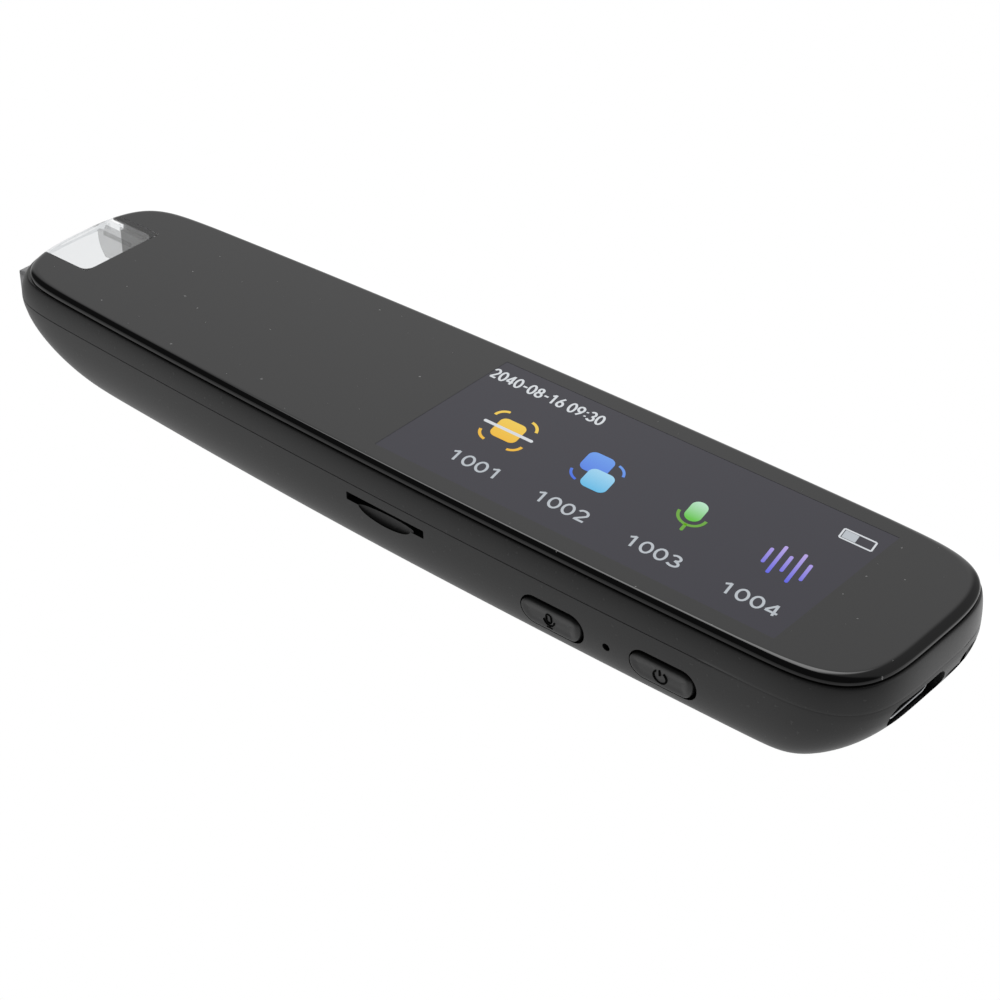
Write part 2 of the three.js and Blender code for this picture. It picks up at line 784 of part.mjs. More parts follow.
// The frame that carries the glass: a deck with a rim that meets the tub
function upperHousing() {
  const groove = atHeight(grown(bandLoop(tubHeight, 0), -seamGroove), tubHeight);
  const shoulderLow = deckTop - shoulderRadius;
  const shoulder = spread(0, Math.PI / 2, shoulderSteps)
    .map((turn) => shoulderLow + shoulderRadius * Math.sin(turn));
  const heights = [...spread(tubHeight + seamGroove, shoulderLow, bandSteps).slice(0, -1), ...shoulder];
  const rings = [groove, ...heights.map((z) => atHeight(bandLoop(z, 0), z))];
  const cavityHeights = [tubHeight - overrun, (tubHeight + deckBottom) / 2, deckBottom];
  const cavity = loft(cavityHeights.map((z) => atHeight(bandLoop(Math.min(z, shoulderLow), shellWall), z)));
  const tongueOuter = grown(tubLoop(tubHeight, 0), tongueThickness - shellWall - tongueClearance);
  const tongueInner = grown(tubLoop(tubHeight, 0), tongueSetback - shellWall);
  const tongueLow = tubHeight - tongueHeight + tongueClearance;
  const tongue = solid(slab(tongueOuter, tongueLow, tubHeight + tongueHeight / 2))
    .subtract(solid(slab(tongueInner, tongueLow - overrun, tubHeight + overrun)));
  let frame = solid(loft(rings)).subtract(solid(cavity)).add(tongue);
  frame = cut(frame, deckOpening(), headHole(headTop + headClearance), tipNotch(), portRelief());
  return frame;
}

// The deck is open around the display stack.
function deckOpening() {
  const start = panelStart - trayOffset - deckOpeningClearance;
  const end = panelEnd + trayOffset + deckOpeningClearance;
  const width = panelHalfWidth + trayOffset + deckOpeningClearance / 2;
  return plate(start, end, -width, width, deckBottom - overrun, bodyThickness, displayCorner);
}

// The deck and the front of the rim are open below the clear window.
function tipNotch() {
  return plate(noseFront - overrun, windowDepth, -visorHalfWidth - headClearance,
    visorHalfWidth + headClearance, tubHeight - overrun, deckTop + overrun, windowCorner);
}

// Room for the port's shell where it passes under the rim
function portRelief() {
  return block(shellBack - overrun, shellFront + shellThickness, portSide - shellHalfLength - headClearance,
    portSide + shellHalfLength + headClearance, tubHeight - tongueHeight - overrun, tubHeight - seamGroove);
}

// The pane has an upright edge below and a rounded one above.
function coverGlass() {
  const bevel = spread(0, Math.PI / 2, glassEdgeSteps).map((turn) => {
    const inset = glassEdgeInset * (1 - Math.cos(turn));
    return atHeight(grown(outline, -inset), bodyThickness - glassEdgeDrop * (1 - Math.sin(turn)));
  });
  return loft([atHeight(outline, glassBottom), ...bevel]);
}

function displayOpening(z0, z1) {
  return plate(displayStart, displayEnd, -displayHalfWidth, displayHalfWidth, z0, z1, displayCorner);
}

function clearWindow(z0, z1) {
  return plate(-noseReach - overrun, windowDepth, -windowHalfWidth, windowHalfWidth, z0, z1, windowCorner);
}

function printFilm() {
  const sheet = solid(slab(grown(outline, -filmInset), filmBottom, glassBottom));
  const low = filmBottom - overrun;
  return cut(sheet, displayOpening(low, bodyThickness), clearWindow(low, bodyThickness));
}

function glassGlue() {
  const outer = solid(slab(grown(outline, -glueInset), deckTop, filmBottom));
  const inner = slab(grown(outline, -glueInset - glueWidth), deckTop - overrun, filmBottom + overrun);
  return cut(outer, inner, tipNotch(), deckOpening());
}

// The display stack below the glass, from the touch sensor down to its steel tray
function addDisplay() {
  add('touch_sensor', plate(panelStart - touchMargin + trayClearance, panelEnd + touchMargin - trayClearance,
    -panelHalfWidth, panelHalfWidth, touchBottom, filmBottom, displayCorner), 'screen');
  add('lcd_panel', plate(panelStart, panelEnd, -panelHalfWidth, panelHalfWidth, panelBottom, touchBottom,
    displayCorner), 'screen');
  add('lcd_backlight', plate(panelStart, panelEnd, -panelHalfWidth, panelHalfWidth, backlightBottom,
    panelBottom, displayCorner), 'milky');
  add('lcd_tray', fromSolid(displayTray()), 'steel');
  add('lcd_flex', strip(displayFlexPath(), flexThickness, -flexWidth / 2, flexWidth / 2), 'flex');
  add('lcd_connector', displayConnector(), 'chip');
  const touchFlexEnd = touchFlexSide + touchFlexWidth;
  add('touch_flex', strip(touchFlexPath(), flexThickness, touchFlexSide, touchFlexEnd), 'flex');
  add('touch_connector', touchConnector(), 'chip');
}

function displayTray() {
  const out = trayOffset;
  const rim = panelBottom + panelThickness / 2;
  const tray = solid(plate(panelStart - out, panelEnd + out, -panelHalfWidth - out, panelHalfWidth + out,
    trayBottom, rim, displayCorner));
  const pocket = plate(panelStart - trayClearance, panelEnd + trayClearance, -panelHalfWidth - trayClearance,
    panelHalfWidth + trayClearance, backlightBottom, rim + overrun, displayCorner);
  const slot = block(panelStart - out - overrun, panelStart + trayWall, -flexWidth / 2 - flexSlotClearance,
    flexWidth / 2 + flexSlotClearance, backlightBottom + trayWall, rim + overrun);
  return cut(tray, pocket, slot);
}

// A thin strip that follows a path in the XZ plane, between two Y places
function strip(path, thickness, y0, y1) {
  const curve = new THREE.SplineCurve(path.map(([x, z]) => new THREE.Vector2(x, z)));
  const points = curve.getPoints(path.length * flexStepShare);
  const sides = points.map((point, i) => {
    const before = points[Math.max(0, i - 1)];
    const after = points[Math.min(points.length - 1, i + 1)];
    const across = new THREE.Vector2(-(after.y - before.y), after.x - before.x).setLength(thickness / 2);
    return [point.clone().add(across), point.clone().sub(across)];
  });
  const shape = new THREE.Shape([...sides.map((side) => side[0]), ...sides.map((side) => side[1]).reverse()]);
  return extrude(shape, y1 - y0).rotateX(Math.PI / 2).translate(0, y1, 0);
}

const flexGap = flexThickness / 2;
const connectorMiddle = boardTop + connectorHeight / 2;

function displayFlexPath() {
  const from = panelBottom + flexThickness;
  const drop = from - connectorMiddle;
  const [lipShare, bendShare, lapShare] = displayFlexDropShares;
  const [turnShare, flatShare] = displayFlexRunShares;
  return [
    [panelStart - flexGap, from],
    [panelStart - trayOffset, from],
    [panelStart - trayOffset - deckOpeningClearance / 2, from - drop * lipShare],
    [panelStart - trayOffset - deckOpeningClearance, from - drop * bendShare],
    [panelStart - displayFlexRun * turnShare, from - drop * lapShare],
    [panelStart - displayFlexRun * flatShare, connectorMiddle],
    [panelStart - displayFlexRun, connectorMiddle],
  ];
}

function displayConnector() {
  const end = panelStart - displayFlexRun - flexGap;
  const half = flexWidth / 2 + flexSlotClearance;
  return block(end - connectorLength, end, -half, half, boardTop, boardTop + connectorHeight);
}

function touchFlexPath() {
  const from = touchBottom + touchThickness / 2;
  const start = panelEnd + touchMargin - trayClearance + flexGap;
  const drop = from - connectorMiddle;
  const [lipShare, bendShare, lapShare] = touchFlexDropShares;
  return [
    [start, from],
    [start + flexThickness, from - drop * lipShare],
    [start + flexThickness, from - drop * bendShare],
    [start - touchFlexRun * touchFlexRunShare, from - drop * lapShare],
    [start - touchFlexRun, connectorMiddle],
  ];
}

function touchConnector() {
  const end = panelEnd + touchMargin - trayClearance - touchFlexRun;
  return block(end - connectorLength, end, touchFlexSide, touchFlexSide + touchFlexWidth, boardTop,
    boardTop + connectorHeight);
}

// Main board, cut to the tub's inside, with the port's notch and screw holes
function mainBoard() {
  const rim = tubLoop(boardBottom - overrun / 2, shellWall + boardClearance);
  const board = solid(slab(rim, boardBottom, boardTop));
  const tipSide = block(-glassLength, boardStart, -glassLength, glassLength, 0, bodyThickness);
  const notchHalfWidth = shellHalfLength + notchClearance;
  const notch = block(shellBack - notchClearance, glassLength + overrun, portSide - notchHalfWidth,
    portSide + notchHalfWidth, 0, bodyThickness);
  const corner = block(eyeletBlockStart - notchClearance, glassLength + overrun, portSide, usbHalfWidth, 0,
    bodyThickness);
  const holes = screwPlaces.map(([x, y]) => rodZ(x, y, 0, bodyThickness, pilotRadius + screwClearance));
  return cut(board, tipSide, notch, corner, ...holes);
}

function boardScrew([x, y]) {
  const shaft = pilotRadius - screwClearance;
  const [crownShare, rimShare] = screwHeadShares;
  const top = boardTop + screwHeadHeight;
  const profile = [
    [0, screwLow],
    [shaft, screwLow + shaft],
    [shaft, boardTop],
    [screwHeadRadius, boardTop],
    [screwHeadRadius, boardTop + screwHeadHeight * rimShare],
    [screwHeadRadius * crownShare, top],
    [screwRecessRadius, top],
    [screwRecessRadius, top - screwRecessDepth],
    [0, top - screwRecessDepth],
  ];
  const points = profile.map(([radius, z]) => new THREE.Vector2(radius, z));
  return new THREE.LatheGeometry(points, smallSegments).rotateX(Math.PI / 2).translate(x, y, 0);
}

function shieldCan() {
  const top = boardTop + canHeight;
  const can = solid(plate(canStart, canEnd, -canHalfWidth, canHalfWidth, boardTop, top, canWall * 2));
  const room = block(canStart + canWall, canEnd - canWall, canWall - canHalfWidth, canHalfWidth - canWall,
    boardTop - overrun, top - canWall);
  return cut(can, room);
}

function addElectronics() {
  add('main_board', fromSolid(mainBoard()), 'board');
  screwPlaces.forEach((place, i) => add(`board_screw_${i + 1}`, boardScrew(place), 'steel'));
  add('shield_can', fromSolid(shieldCan()), 'steel');
  add('processor_chip', block(canStart + chipInset, canEnd - chipInset, chipInset - canHalfWidth,
    canHalfWidth - chipInset, boardTop, boardTop + chipHeight), 'chip');
  add('memory_chip', block(memoryStart, memoryStart + memoryLength, -memoryHalfWidth, memoryHalfWidth,
    boardTop, boardTop + memoryHeight), 'chip');
  add('radio_can', plate(radioStart, radioStart + radioLength, -radioHalfWidth, radioHalfWidth, boardTop,
    boardTop + radioHeight, canWall * 2), 'steel');
  add('antenna_film', plate(antennaStart, antennaStart + antennaLength, -antennaHalfWidth, antennaHalfWidth,
    deckBottom - antennaThickness, deckBottom, antennaHalfWidth / 2), 'flex');
}

function addPower() {
  add('battery_tape', plate(batteryStart + tapeInset, batteryEnd - tapeInset, tapeInset - batteryHalfWidth,
    batteryHalfWidth - tapeInset, floorThickness, batteryBottom, batteryRound), 'foil');
  add('battery', endPlate(-batteryHalfWidth, batteryHalfWidth, batteryBottom, batteryTop, batteryStart,
    batteryEnd, batteryRound), 'foil');
  add('battery_wire_red', batteryWire(wireSide), 'red');
  add('battery_wire_black', batteryWire(wireSide + wireSpacing), 'chip');
  const middle = wireSide + wireSpacing / 2;
  const socketStart = batteryEnd + wireRun;
  add('battery_socket', block(socketStart, socketStart + socketSize, middle - socketSize / 2,
    middle + socketSize / 2, boardBottom - socketHeight, boardBottom), 'milky');
}

// A round wire that rises from the battery's end to its socket under the board
function batteryWire(y) {
  const start = batteryEnd + wireRadius / 2;
  const end = batteryEnd + wireRun - wireRadius / 2;
  const low = batteryTop - wireDrop;
  const high = boardBottom - socketHeight / 2;
  const path = new THREE.CatmullRomCurve3([
    new THREE.Vector3(start, y, low),
    new THREE.Vector3(start + wireRun * wireRunShare, y, low),
    new THREE.Vector3(end - wireRun * wireRunShare, y, high),
    new THREE.Vector3(end, y, high),
  ]);
  const section = new THREE.Shape();
  section.absarc(0, 0, wireRadius, 0, Math.PI * 2);
  const curveSegments = smallSegments / 2;
  const settings = { steps: wireSteps, bevelEnabled: false, extrudePath: path, curveSegments };
  return new THREE.ExtrudeGeometry(section, settings);
}

function addSound() {
  const low = floorThickness;
  const end = speakerStart + speakerLength;
  const y0 = speakerSide - speakerHalfWidth;
  const y1 = speakerSide + speakerHalfWidth;
  const ring = solid(plate(speakerStart, end, y0, y1, low, low + gasketThickness, gasketWidth));
  const hole = plate(speakerStart + gasketWidth, end - gasketWidth, y0 + gasketWidth, y1 - gasketWidth,
    low - overrun, low + gasketThickness + overrun, gasketWidth / 2);
  add('speaker_gasket', fromSolid(cut(ring, hole)), 'rubber');
  add('speaker', plate(speakerStart, end, y0, y1, low + gasketThickness, speakerTop, gasketWidth), 'chip');
}

// Places along Y behind the side wall, from the key's flange inwards
function keyStations(x) {
  const wall = tubWallY(x);
  const reach = keyHalfLength + keyFlange;
  const narrowest = Math.min(wall, tubWallY(x - reach), tubWallY(x + reach));
  const flangeFront = -(narrowest - shellWall - keyFlangeGap);
  const flangeBack = flangeFront + keyFlangeThickness;
  const switchFront = flangeBack + switchGap;
  return { wall, flangeFront, flangeBack, switchFront };
}

// All switches stand on one board, so the deepest one sets its face.
const deepestSwitch = Math.max(keyStations(functionKeyX).switchFront, keyStations(powerKeyX).switchFront);
const keyBoardFace = deepestSwitch + switchDepth;

function keyCap(x) {
  const { wall, flangeFront, flangeBack } = keyStations(x);
  const face = -wall - keyProud;
  const ringAt = (inset, y) => {
    const halfLength = keyHalfLength - inset;
    const halfHeight = keyHalfHeight - inset;
    return roundedLoop(x - halfLength, x + halfLength, keyHeight - halfHeight, keyHeight + halfHeight,
      halfHeight * keyRoundShare, keyRoundSteps).map(([u, v]) => [u, y, v]);
  };
  const rounding = spread(Math.PI / 2, 0, keyEdgeSteps).map((turn) => {
    const inset = keyEdge * (1 - Math.sin(turn));
    return ringAt(inset, face + keyEdge * (1 - Math.cos(turn)));
  });
  const dish = spread(0, Math.PI / 2, keyDishSteps).map((turn) => {
    const inset = keyEdge + keyRimWidth + keyHalfHeight * keyDishShare * Math.sin(turn);
    return ringAt(inset, face + keyDishDepth * (1 - Math.cos(turn)));
  });
  const cap = solid(loftAlongY([ringAt(0, flangeFront + keyFlangeThickness / 2), ...rounding, ...dish]));
  const reach = keyHalfLength + keyFlange;
  const flange = sidePlate(x - reach, x + reach, keyHeight - keyFlangeHalfHeight,
    keyHeight + keyFlangeHalfHeight, flangeFront, flangeBack, keyEdge);
  return cap.add(solid(flange));
}

function keySwitch(x) {
  const front = keyBoardFace - switchDepth;
  const half = switchSize / 2;
  const body = solid(sidePlate(x - half, x + half, keyHeight - half, keyHeight + half, front, keyBoardFace,
    switchCorner, fineCornerSteps));
  const bore = rodY(x, keyHeight, front - overrun, front + plungerEngage + keyTravel + plungerRoom,
    plungerRadius + plungerClearance, roundSegments);
  return cut(body, bore);
}

function keyPlunger(x) {
  const front = keyBoardFace - switchDepth;
  return rodY(x, keyHeight, keyStations(x).flangeBack, front + plungerEngage, plungerRadius, roundSegments);
}

function addKeys() {
  for (const [name, x] of [['function', functionKeyX], ['power', powerKeyX]]) {
    add(`${name}_button`, fromSolid(keyCap(x)), 'black');
    add(`${name}_switch`, fromSolid(keySwitch(x)), 'steel');
    add(`${name}_switch_plunger`, keyPlunger(x), 'chip');
  }
  const start = functionKeyX - switchSize / 2 - keyBoardMargin;
  const end = powerKeyX + switchSize / 2 + keyBoardMargin;
  const back = keyBoardFace + keyBoardThickness;
  add('key_board', sidePlate(start, end, keyHeight - keyBoardHalfHeight, keyHeight + keyBoardHalfHeight,
    keyBoardFace, back, keyBoardThickness, fineCornerSteps), 'board');
  const upright = solid(block(start, end, back, back + bracketThickness, floorThickness,
    keyHeight + keyBoardHalfHeight));
  const foot = solid(block(start, end, back, back + bracketFoot, floorThickness,
    floorThickness + bracketThickness));
  add('key_bracket', fromSolid(upright.add(foot)), 'steel');
  addMicrophone();
  const flexX = (functionKeyX + powerKeyX) / 2 + keyFlexPlace;
  add('key_flex', keyFlex(flexX), 'flex');
}

function addMicrophone() {
  const x = (functionKeyX + powerKeyX) / 2;
  const front = keyBoardFace - microphoneDepth;
  add('microphone', block(x - microphoneLength / 2, x + microphoneLength / 2, front, keyBoardFace,
    keyHeight - microphoneHeight / 2, keyHeight + microphoneHeight / 2), 'steel');
  const wallFace = -(tubWallY(x) - shellWall - bootClearance);
  const half = bootSize / 2;
  const boot = solid(sidePlate(x - half, x + half, keyHeight - half, keyHeight + half, wallFace, front,
    bootCorner, fineCornerSteps));
  const sound = rodY(x, keyHeight, wallFace - overrun, front + overrun, pinholeRadius);
  add('mic_boot', fromSolid(cut(boot, sound)), 'rubber');
}

// A short strip from the top of the key board up to the main board's underside
function keyFlex(x) {
  const top = keyHeight + keyBoardHalfHeight;
  const shape = new THREE.Shape();
  const y0 = keyBoardFace;
  shape.moveTo(y0, top);
  shape.lineTo(y0 + flexThickness, top);
  shape.lineTo(y0 + flexThickness, boardBottom - flexThickness);
  shape.lineTo(y0 + keyFlexLap, boardBottom - flexThickness);
  shape.lineTo(y0 + keyFlexLap, boardBottom);
  shape.lineTo(y0, boardBottom);
  const upright = extrude(shape, keyFlexWidth).rotateX(Math.PI / 2).rotateZ(Math.PI / 2);
  return upright.translate(x - keyFlexWidth / 2, 0, 0);
}

function addPorts() {
  add('card_socket', fromSolid(cardSocket()), 'steel');
  add('usb_shell', fromSolid(usbShell()), 'steel');
  add('usb_insulator', fromSolid(usbInsulator()), 'chip');
}

function cardSocket() {
  const x0 = slotStart - socketMargin;
  const x1 = slotEnd + socketMargin;
  const y0 = -(tubWallY(slotStart) - shellWall - socketGap);
  const cage = solid(block(x0, x1, y0, y0 + socketDepth, boardBottom - socketCageHeight, boardBottom));
  const middle = (x0 + x1) / 2;
  const half = cardMouthLength / 2;
  const room = block(middle - half, middle + half, y0 - overrun, y0 + socketDepth - socketBackWall,
    boardBottom - socketCageHeight + socketWall, boardBottom - socketWall);
  return cut(cage, room);
}

// The rounded oblong of the port, along X
function portOblong(halfLength, halfHeight, x0, x1) {
  return endPlate(portSide - halfLength, portSide + halfLength, portHeight - halfHeight,
    portHeight + halfHeight, x0, x1, halfHeight * shellRoundShare, shellRoundSteps);
}

function usbShell() {
  const tube = solid(portOblong(shellHalfLength, shellHalfHeight, shellBack, shellFront));
  return cut(tube, portOblong(shellHalfLength - shellThickness, shellHalfHeight - shellThickness,
    shellBack - overrun, shellFront + overrun));
}

function usbInsulator() {
  const inset = shellThickness + insulatorGap;
  const back = solid(portOblong(shellHalfLength - inset, shellHalfHeight - inset, shellBack,
    shellBack + insulatorBack));
  const tongue = block(shellBack + insulatorBack / 2, shellFront - contactTongueSetback,
    portSide - tongueHalfLength, portSide + tongueHalfLength, portHeight - contactTongueThickness / 2,
    portHeight + contactTongueThickness / 2);
  return back.add(solid(tongue));
}

// The lip of the scanning head, which stands out of the nose and follows its bow
function headLip() {
  const bow = (z) => bowLength * ((tubHeight - Math.min(z, tubHeight)) / tubHeight) ** 2;
  const shape = new THREE.Shape();
  shape.moveTo(lipBack + bow(headBottom) * headHeelShare, headBottom);
  shape.lineTo(lipBack, tubHeight - headEdge);
  shape.lineTo(lipBack, headTop);
  shape.lineTo(lipFront + headEdge, headTop);
  shape.absarc(lipFront + headEdge, headTop - headEdge, headEdge, Math.PI / 2, Math.PI);
  spread(tubHeight, headBottom, lipSteps).forEach((z) => shape.lineTo(lipFront + bow(z), z));
  const bar = extrude(shape, headHalfWidth * 2).rotateX(Math.PI / 2).translate(0, headHalfWidth, 0);
  const ends = plate(lipFront, chuteStart, -headHalfWidth, headHalfWidth, 0, bodyThickness, headCorner);
  return solid(bar).intersect(solid(ends));
}

// The visor follows the rim's front, so it fills the gap below the clear window.
function headVisor() {
  const rings = spread(headTop - headEdge, filmBottom - visorGap, lipSteps)
    .map((z) => atHeight(bandLoop(Math.min(z, deckTop), visorSetback), z));
  const zone = block(lipFront, lipBack, -visorHalfWidth, visorHalfWidth, 0, bodyThickness);
  return solid(loft(rings)).intersect(solid(zone));
}

// The clear scanning head: its lip, a visor up to the glass, two cheeks and two arms
function scanningHead() {
  let head = headLip().add(headVisor());
  for (const [side, end] of [[-1, cameraX - barrelLength], [1, armEnd]]) {
    const y0 = side > 0 ? armInner : -headHalfWidth;
    const y1 = y0 + armThickness;
    const cheek = block(lipBack - headEdge, lipBack + cheekLength, y0, y1, headBottom, headTop);
    const arm = block(lipBack, end, y0, y1, armBottom, armBottom + armHeight);
    head = head.add(solid(cheek)).add(solid(arm));
  }
  return head;
}

function nibSwitch() {
  const middle = armInner + armThickness / 2;
  const body = solid(block(nibSwitchStart, nibSwitchStart + nibSwitchLength, middle - nibSwitchWidth / 2,
    middle + nibSwitchWidth / 2, boardBottom - nibSwitchHeight, boardBottom));
  const z = armBottom + armHeight / 2;
  const boreEnd = nibSwitchStart + plungerEngage + headTravel + plungerRoom;
  const bore = rodX(middle, z, nibSwitchStart - overrun, boreEnd, nibPlungerRadius + plungerClearance);
  return cut(body, bore);
}

function nibPlunger() {
  const middle = armInner + armThickness / 2;
  return rodX(middle, armBottom + armHeight / 2, armEnd, nibSwitchStart + plungerEngage, nibPlungerRadius);
}

// A pale funnel between the clear window above and the mouth below, open towards the nose
function scanChute() {
  const walls = solid(plate(chuteStart, chuteEnd, -chuteHalfWidth, chuteHalfWidth, 0, deckBottom - chuteGap,
    chuteWall / 2));
  const bore = plate(chuteStart - chuteLength, chuteEnd - chuteWall, chuteWall - chuteHalfWidth,
    chuteHalfWidth - chuteWall, -overrun, bodyThickness, chuteCorner);
  const eye = block(chuteEnd - chuteWall - overrun, chuteEnd + overrun, -chuteEyeHalfWidth, chuteEyeHalfWidth,
    chuteEyeBottom, chuteEyeTop);
  const inside = solid(innerTub(shellWall + chuteGap));
  const above = solid(slab(bandLoop(tubHeight, shellWall + chuteGap), tubHeight, bodyThickness));
  return cut(walls.intersect(inside.add(above)), bore, eye);
}

function addScanner() {
  add('press_head', fromSolid(scanningHead()), 'clear');
  add('nib_switch', fromSolid(nibSwitch()), 'steel');
  add('nib_switch_plunger', nibPlunger(), 'chip');
  add('scan_chute', fromSolid(scanChute()), 'milky');
  addCamera();
  addLamps();
}

// The camera looks down its tilted axis at the mouth, so its pieces share one turned group.
function addCamera() {
  const turned = new THREE.Group();
  turned.position.set(cameraX, 0, cameraZ);
  turned.rotation.y = -THREE.MathUtils.degToRad(cameraTilt);
  group.add(turned);
  const front = -barrelLength / 2;
  const barrel = solid(rodX(0, 0, front, barrelLength / 2, barrelRadius, roundSegments));
  const bore = rodX(0, 0, front - overrun, front + barrelBoreDepth, barrelBore, roundSegments);
  add('camera_barrel', fromSolid(cut(barrel, bore)), 'chip', turned);
  const lensBack = front + barrelBoreDepth - lensGap;
  const lens = rodX(0, 0, lensBack - lensThickness, lensBack, barrelBore - lensGap, roundSegments);
  add('camera_lens', lens, 'glass', turned);
  const boardFront = barrelLength / 2 + sensorGap;
  const half = sensorSize / 2;
  const sensor = block(boardFront, boardFront + sensorThickness, -half, half, -half, half);
  add('camera_board', sensor, 'board', turned);
  const holderStart = cameraX - holderLength / 2;
  const holder = solid(block(holderStart, holderStart + holderLength, -holderHalfWidth, holderHalfWidth,
    floorThickness, holderTop));
  const path = rodX(0, 0, -glassLength, glassLength, barrelRadius + holderClearance, roundSegments)
    .rotateY(turned.rotation.y).translate(cameraX, 0, cameraZ);
  add('camera_holder', fromSolid(cut(holder, path)), 'black');
}

function addLamps() {
  const top = deckBottom;
  const low = top - lampBoardThickness;
  const end = lampBoardStart + lampBoardLength;
  add('lamp_board', block(lampBoardStart, end, -lampBoardHalfWidth, lampBoardHalfWidth, low, top), 'board');
  const x = lampBoardStart + (lampBoardLength - lampSize) / 2;
  for (const [name, side] of [['near', -1], ['far', 1]]) {
    const y = side * lampSpacing - lampSize / 2;
    add(`lamp_${name}`, block(x, x + lampSize, y, y + lampSize, low - lampHeight, low), 'lamp');
  }
}

add('cover_glass', coverGlass(), 'glass');
add('print_film', fromSolid(printFilm()), 'film');
add('glass_glue', fromSolid(glassGlue()), 'rubber');
add('upper_housing', fromSolid(upperHousing()), 'black');
add('lower_housing', fromSolid(lowerHousing()), 'black');
addDisplay();
addElectronics();
addPower();
addSound();
addKeys();
addPorts();
addScanner();

// The finished pen stands on Z zero, with its box centred on X and Y.
const bounds = new THREE.Box3().setFromObject(group);
const centre = bounds.getCenter(new THREE.Vector3());
group.position.set(-centre.x, -centre.y, -bounds.min.z);
group.updateMatrixWorld(true);

export default group;
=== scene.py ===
import json
import math

import bmesh
import bpy
import numpy as np
from mathutils import Matrix, Vector


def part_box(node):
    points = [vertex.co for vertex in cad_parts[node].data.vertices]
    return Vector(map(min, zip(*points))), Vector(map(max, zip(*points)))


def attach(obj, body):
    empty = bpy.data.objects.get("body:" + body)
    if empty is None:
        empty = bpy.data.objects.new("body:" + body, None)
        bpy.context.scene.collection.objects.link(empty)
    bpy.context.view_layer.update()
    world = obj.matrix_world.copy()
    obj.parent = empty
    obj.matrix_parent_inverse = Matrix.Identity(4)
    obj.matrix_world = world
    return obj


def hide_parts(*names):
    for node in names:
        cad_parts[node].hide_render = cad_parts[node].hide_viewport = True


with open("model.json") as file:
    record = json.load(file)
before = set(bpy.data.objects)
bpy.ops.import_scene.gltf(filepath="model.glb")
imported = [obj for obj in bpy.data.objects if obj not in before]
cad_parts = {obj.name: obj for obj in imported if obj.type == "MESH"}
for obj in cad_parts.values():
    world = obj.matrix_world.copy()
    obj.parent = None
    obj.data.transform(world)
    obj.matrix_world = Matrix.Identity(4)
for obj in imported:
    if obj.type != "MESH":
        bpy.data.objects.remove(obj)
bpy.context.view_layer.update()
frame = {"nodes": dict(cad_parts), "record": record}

MM = 0.001

# All sizes are in millimetres: X from the glass's tip to the port's end, Z from the underside
# The glass's outline: half widths at its tip, middle and port's end, and how each end rounds off
LENGTH = 145.0
TIP_HALF, MID_HALF, PORT_END_HALF = 13.1, 15.93, 15.6
TIP_LENGTH, TIP_POWERS = 28.0, (10.0, 2.62)
PORT_END_LENGTH, PORT_END_POWERS = 15.5, (3.52, 3.87)
END_POINTS, MIDDLE_POINTS, LENGTH_WEIGHT, BEND_WEIGHT = 1500, 600, 0.45, 0.55

# The housing: its heights, how far it reaches past the glass, its walls and its rounded lower edge
TOP, TUB_TOP, DECK_TOP = 14.5, 9.6, 13.25
NOSE_REACH, TOP_REACH, PORT_END_REACH = 2.05, 0.8, 0.2
NOSE_BLEND, PORT_END_BLEND = 20.0, 25.0
BAND_GROW, SHOULDER, TALL_SHOULDER, EDGE_RADIUS = 0.4, 0.45, 3.2, 3.3
WALL, FLOOR, DRAFT = 1.6, 1.4, 0.027
EDGE_HEIGHT, EDGE_POWER = 8.5, 3.0
BOW, STERN, STERN_HEIGHT, STERN_BLEND = 12.4, 11.5, 9.0, 26.0

# The parting line's groove, which fades from a place along the near side
GROOVE, FADE_START, FADE_LENGTH, FADE_SIDE, FADE_SHARE = 0.06, 121, 9, 6, 0.8

# The scanning window, the keys, the port and the screws
WINDOW_DEPTH, WINDOW_HALF = 9.1, 6.4
KEY_PLACES = (101.7, 118.4)
KEY_Z, KEY_HALF_LENGTH, KEY_HALF_HEIGHT = 4.5, 4.9, 2.198
KEY_ROOM, KEY_MORE_ROOM = 0.025, 0.11
PORT_Y, PORT_Z, SHELL_FRONT, SHELL_BACK = -3.4, 7.1, 143.9, 136.5
SCREWS = ((26.0, -8.5), (84.0, 11.0), (85.0, -8.5), (122.0, 11.0))

ZERO = Vector((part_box("cover_glass")[0].x, 0.0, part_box("cover_glass")[1].z - TOP * MM))


def at(x, y, z):
    """A place in millimetres from the glass's tip, as a place in the row frame."""
    return ZERO + Vector((x, y, z)) * MM


# Outlines
def clamp01(value):
    return np.clip(value, 0.0, 1.0)


def side_half_width(x):
    """A parabola through the half widths at the tip, the middle and the port's end."""
    t = x / LENGTH
    return TIP_HALF * (1 - t) * (1 - 2 * t) + MID_HALF * 4 * t * (1 - t) + PORT_END_HALF * t * (2 * t - 1)


def end_share(distance, length, length_power, width_power):
    """The share of the full width at a distance from an end that rounds off over a length."""
    along = clamp01(distance / length)
    return (1 - (1 - along) ** length_power) ** (1 / width_power)


def half_width(x):
    tip = end_share(x, TIP_LENGTH, *TIP_POWERS)
    port_end = end_share(LENGTH - x, PORT_END_LENGTH, *PORT_END_POWERS)
    return tip * port_end * side_half_width(x)


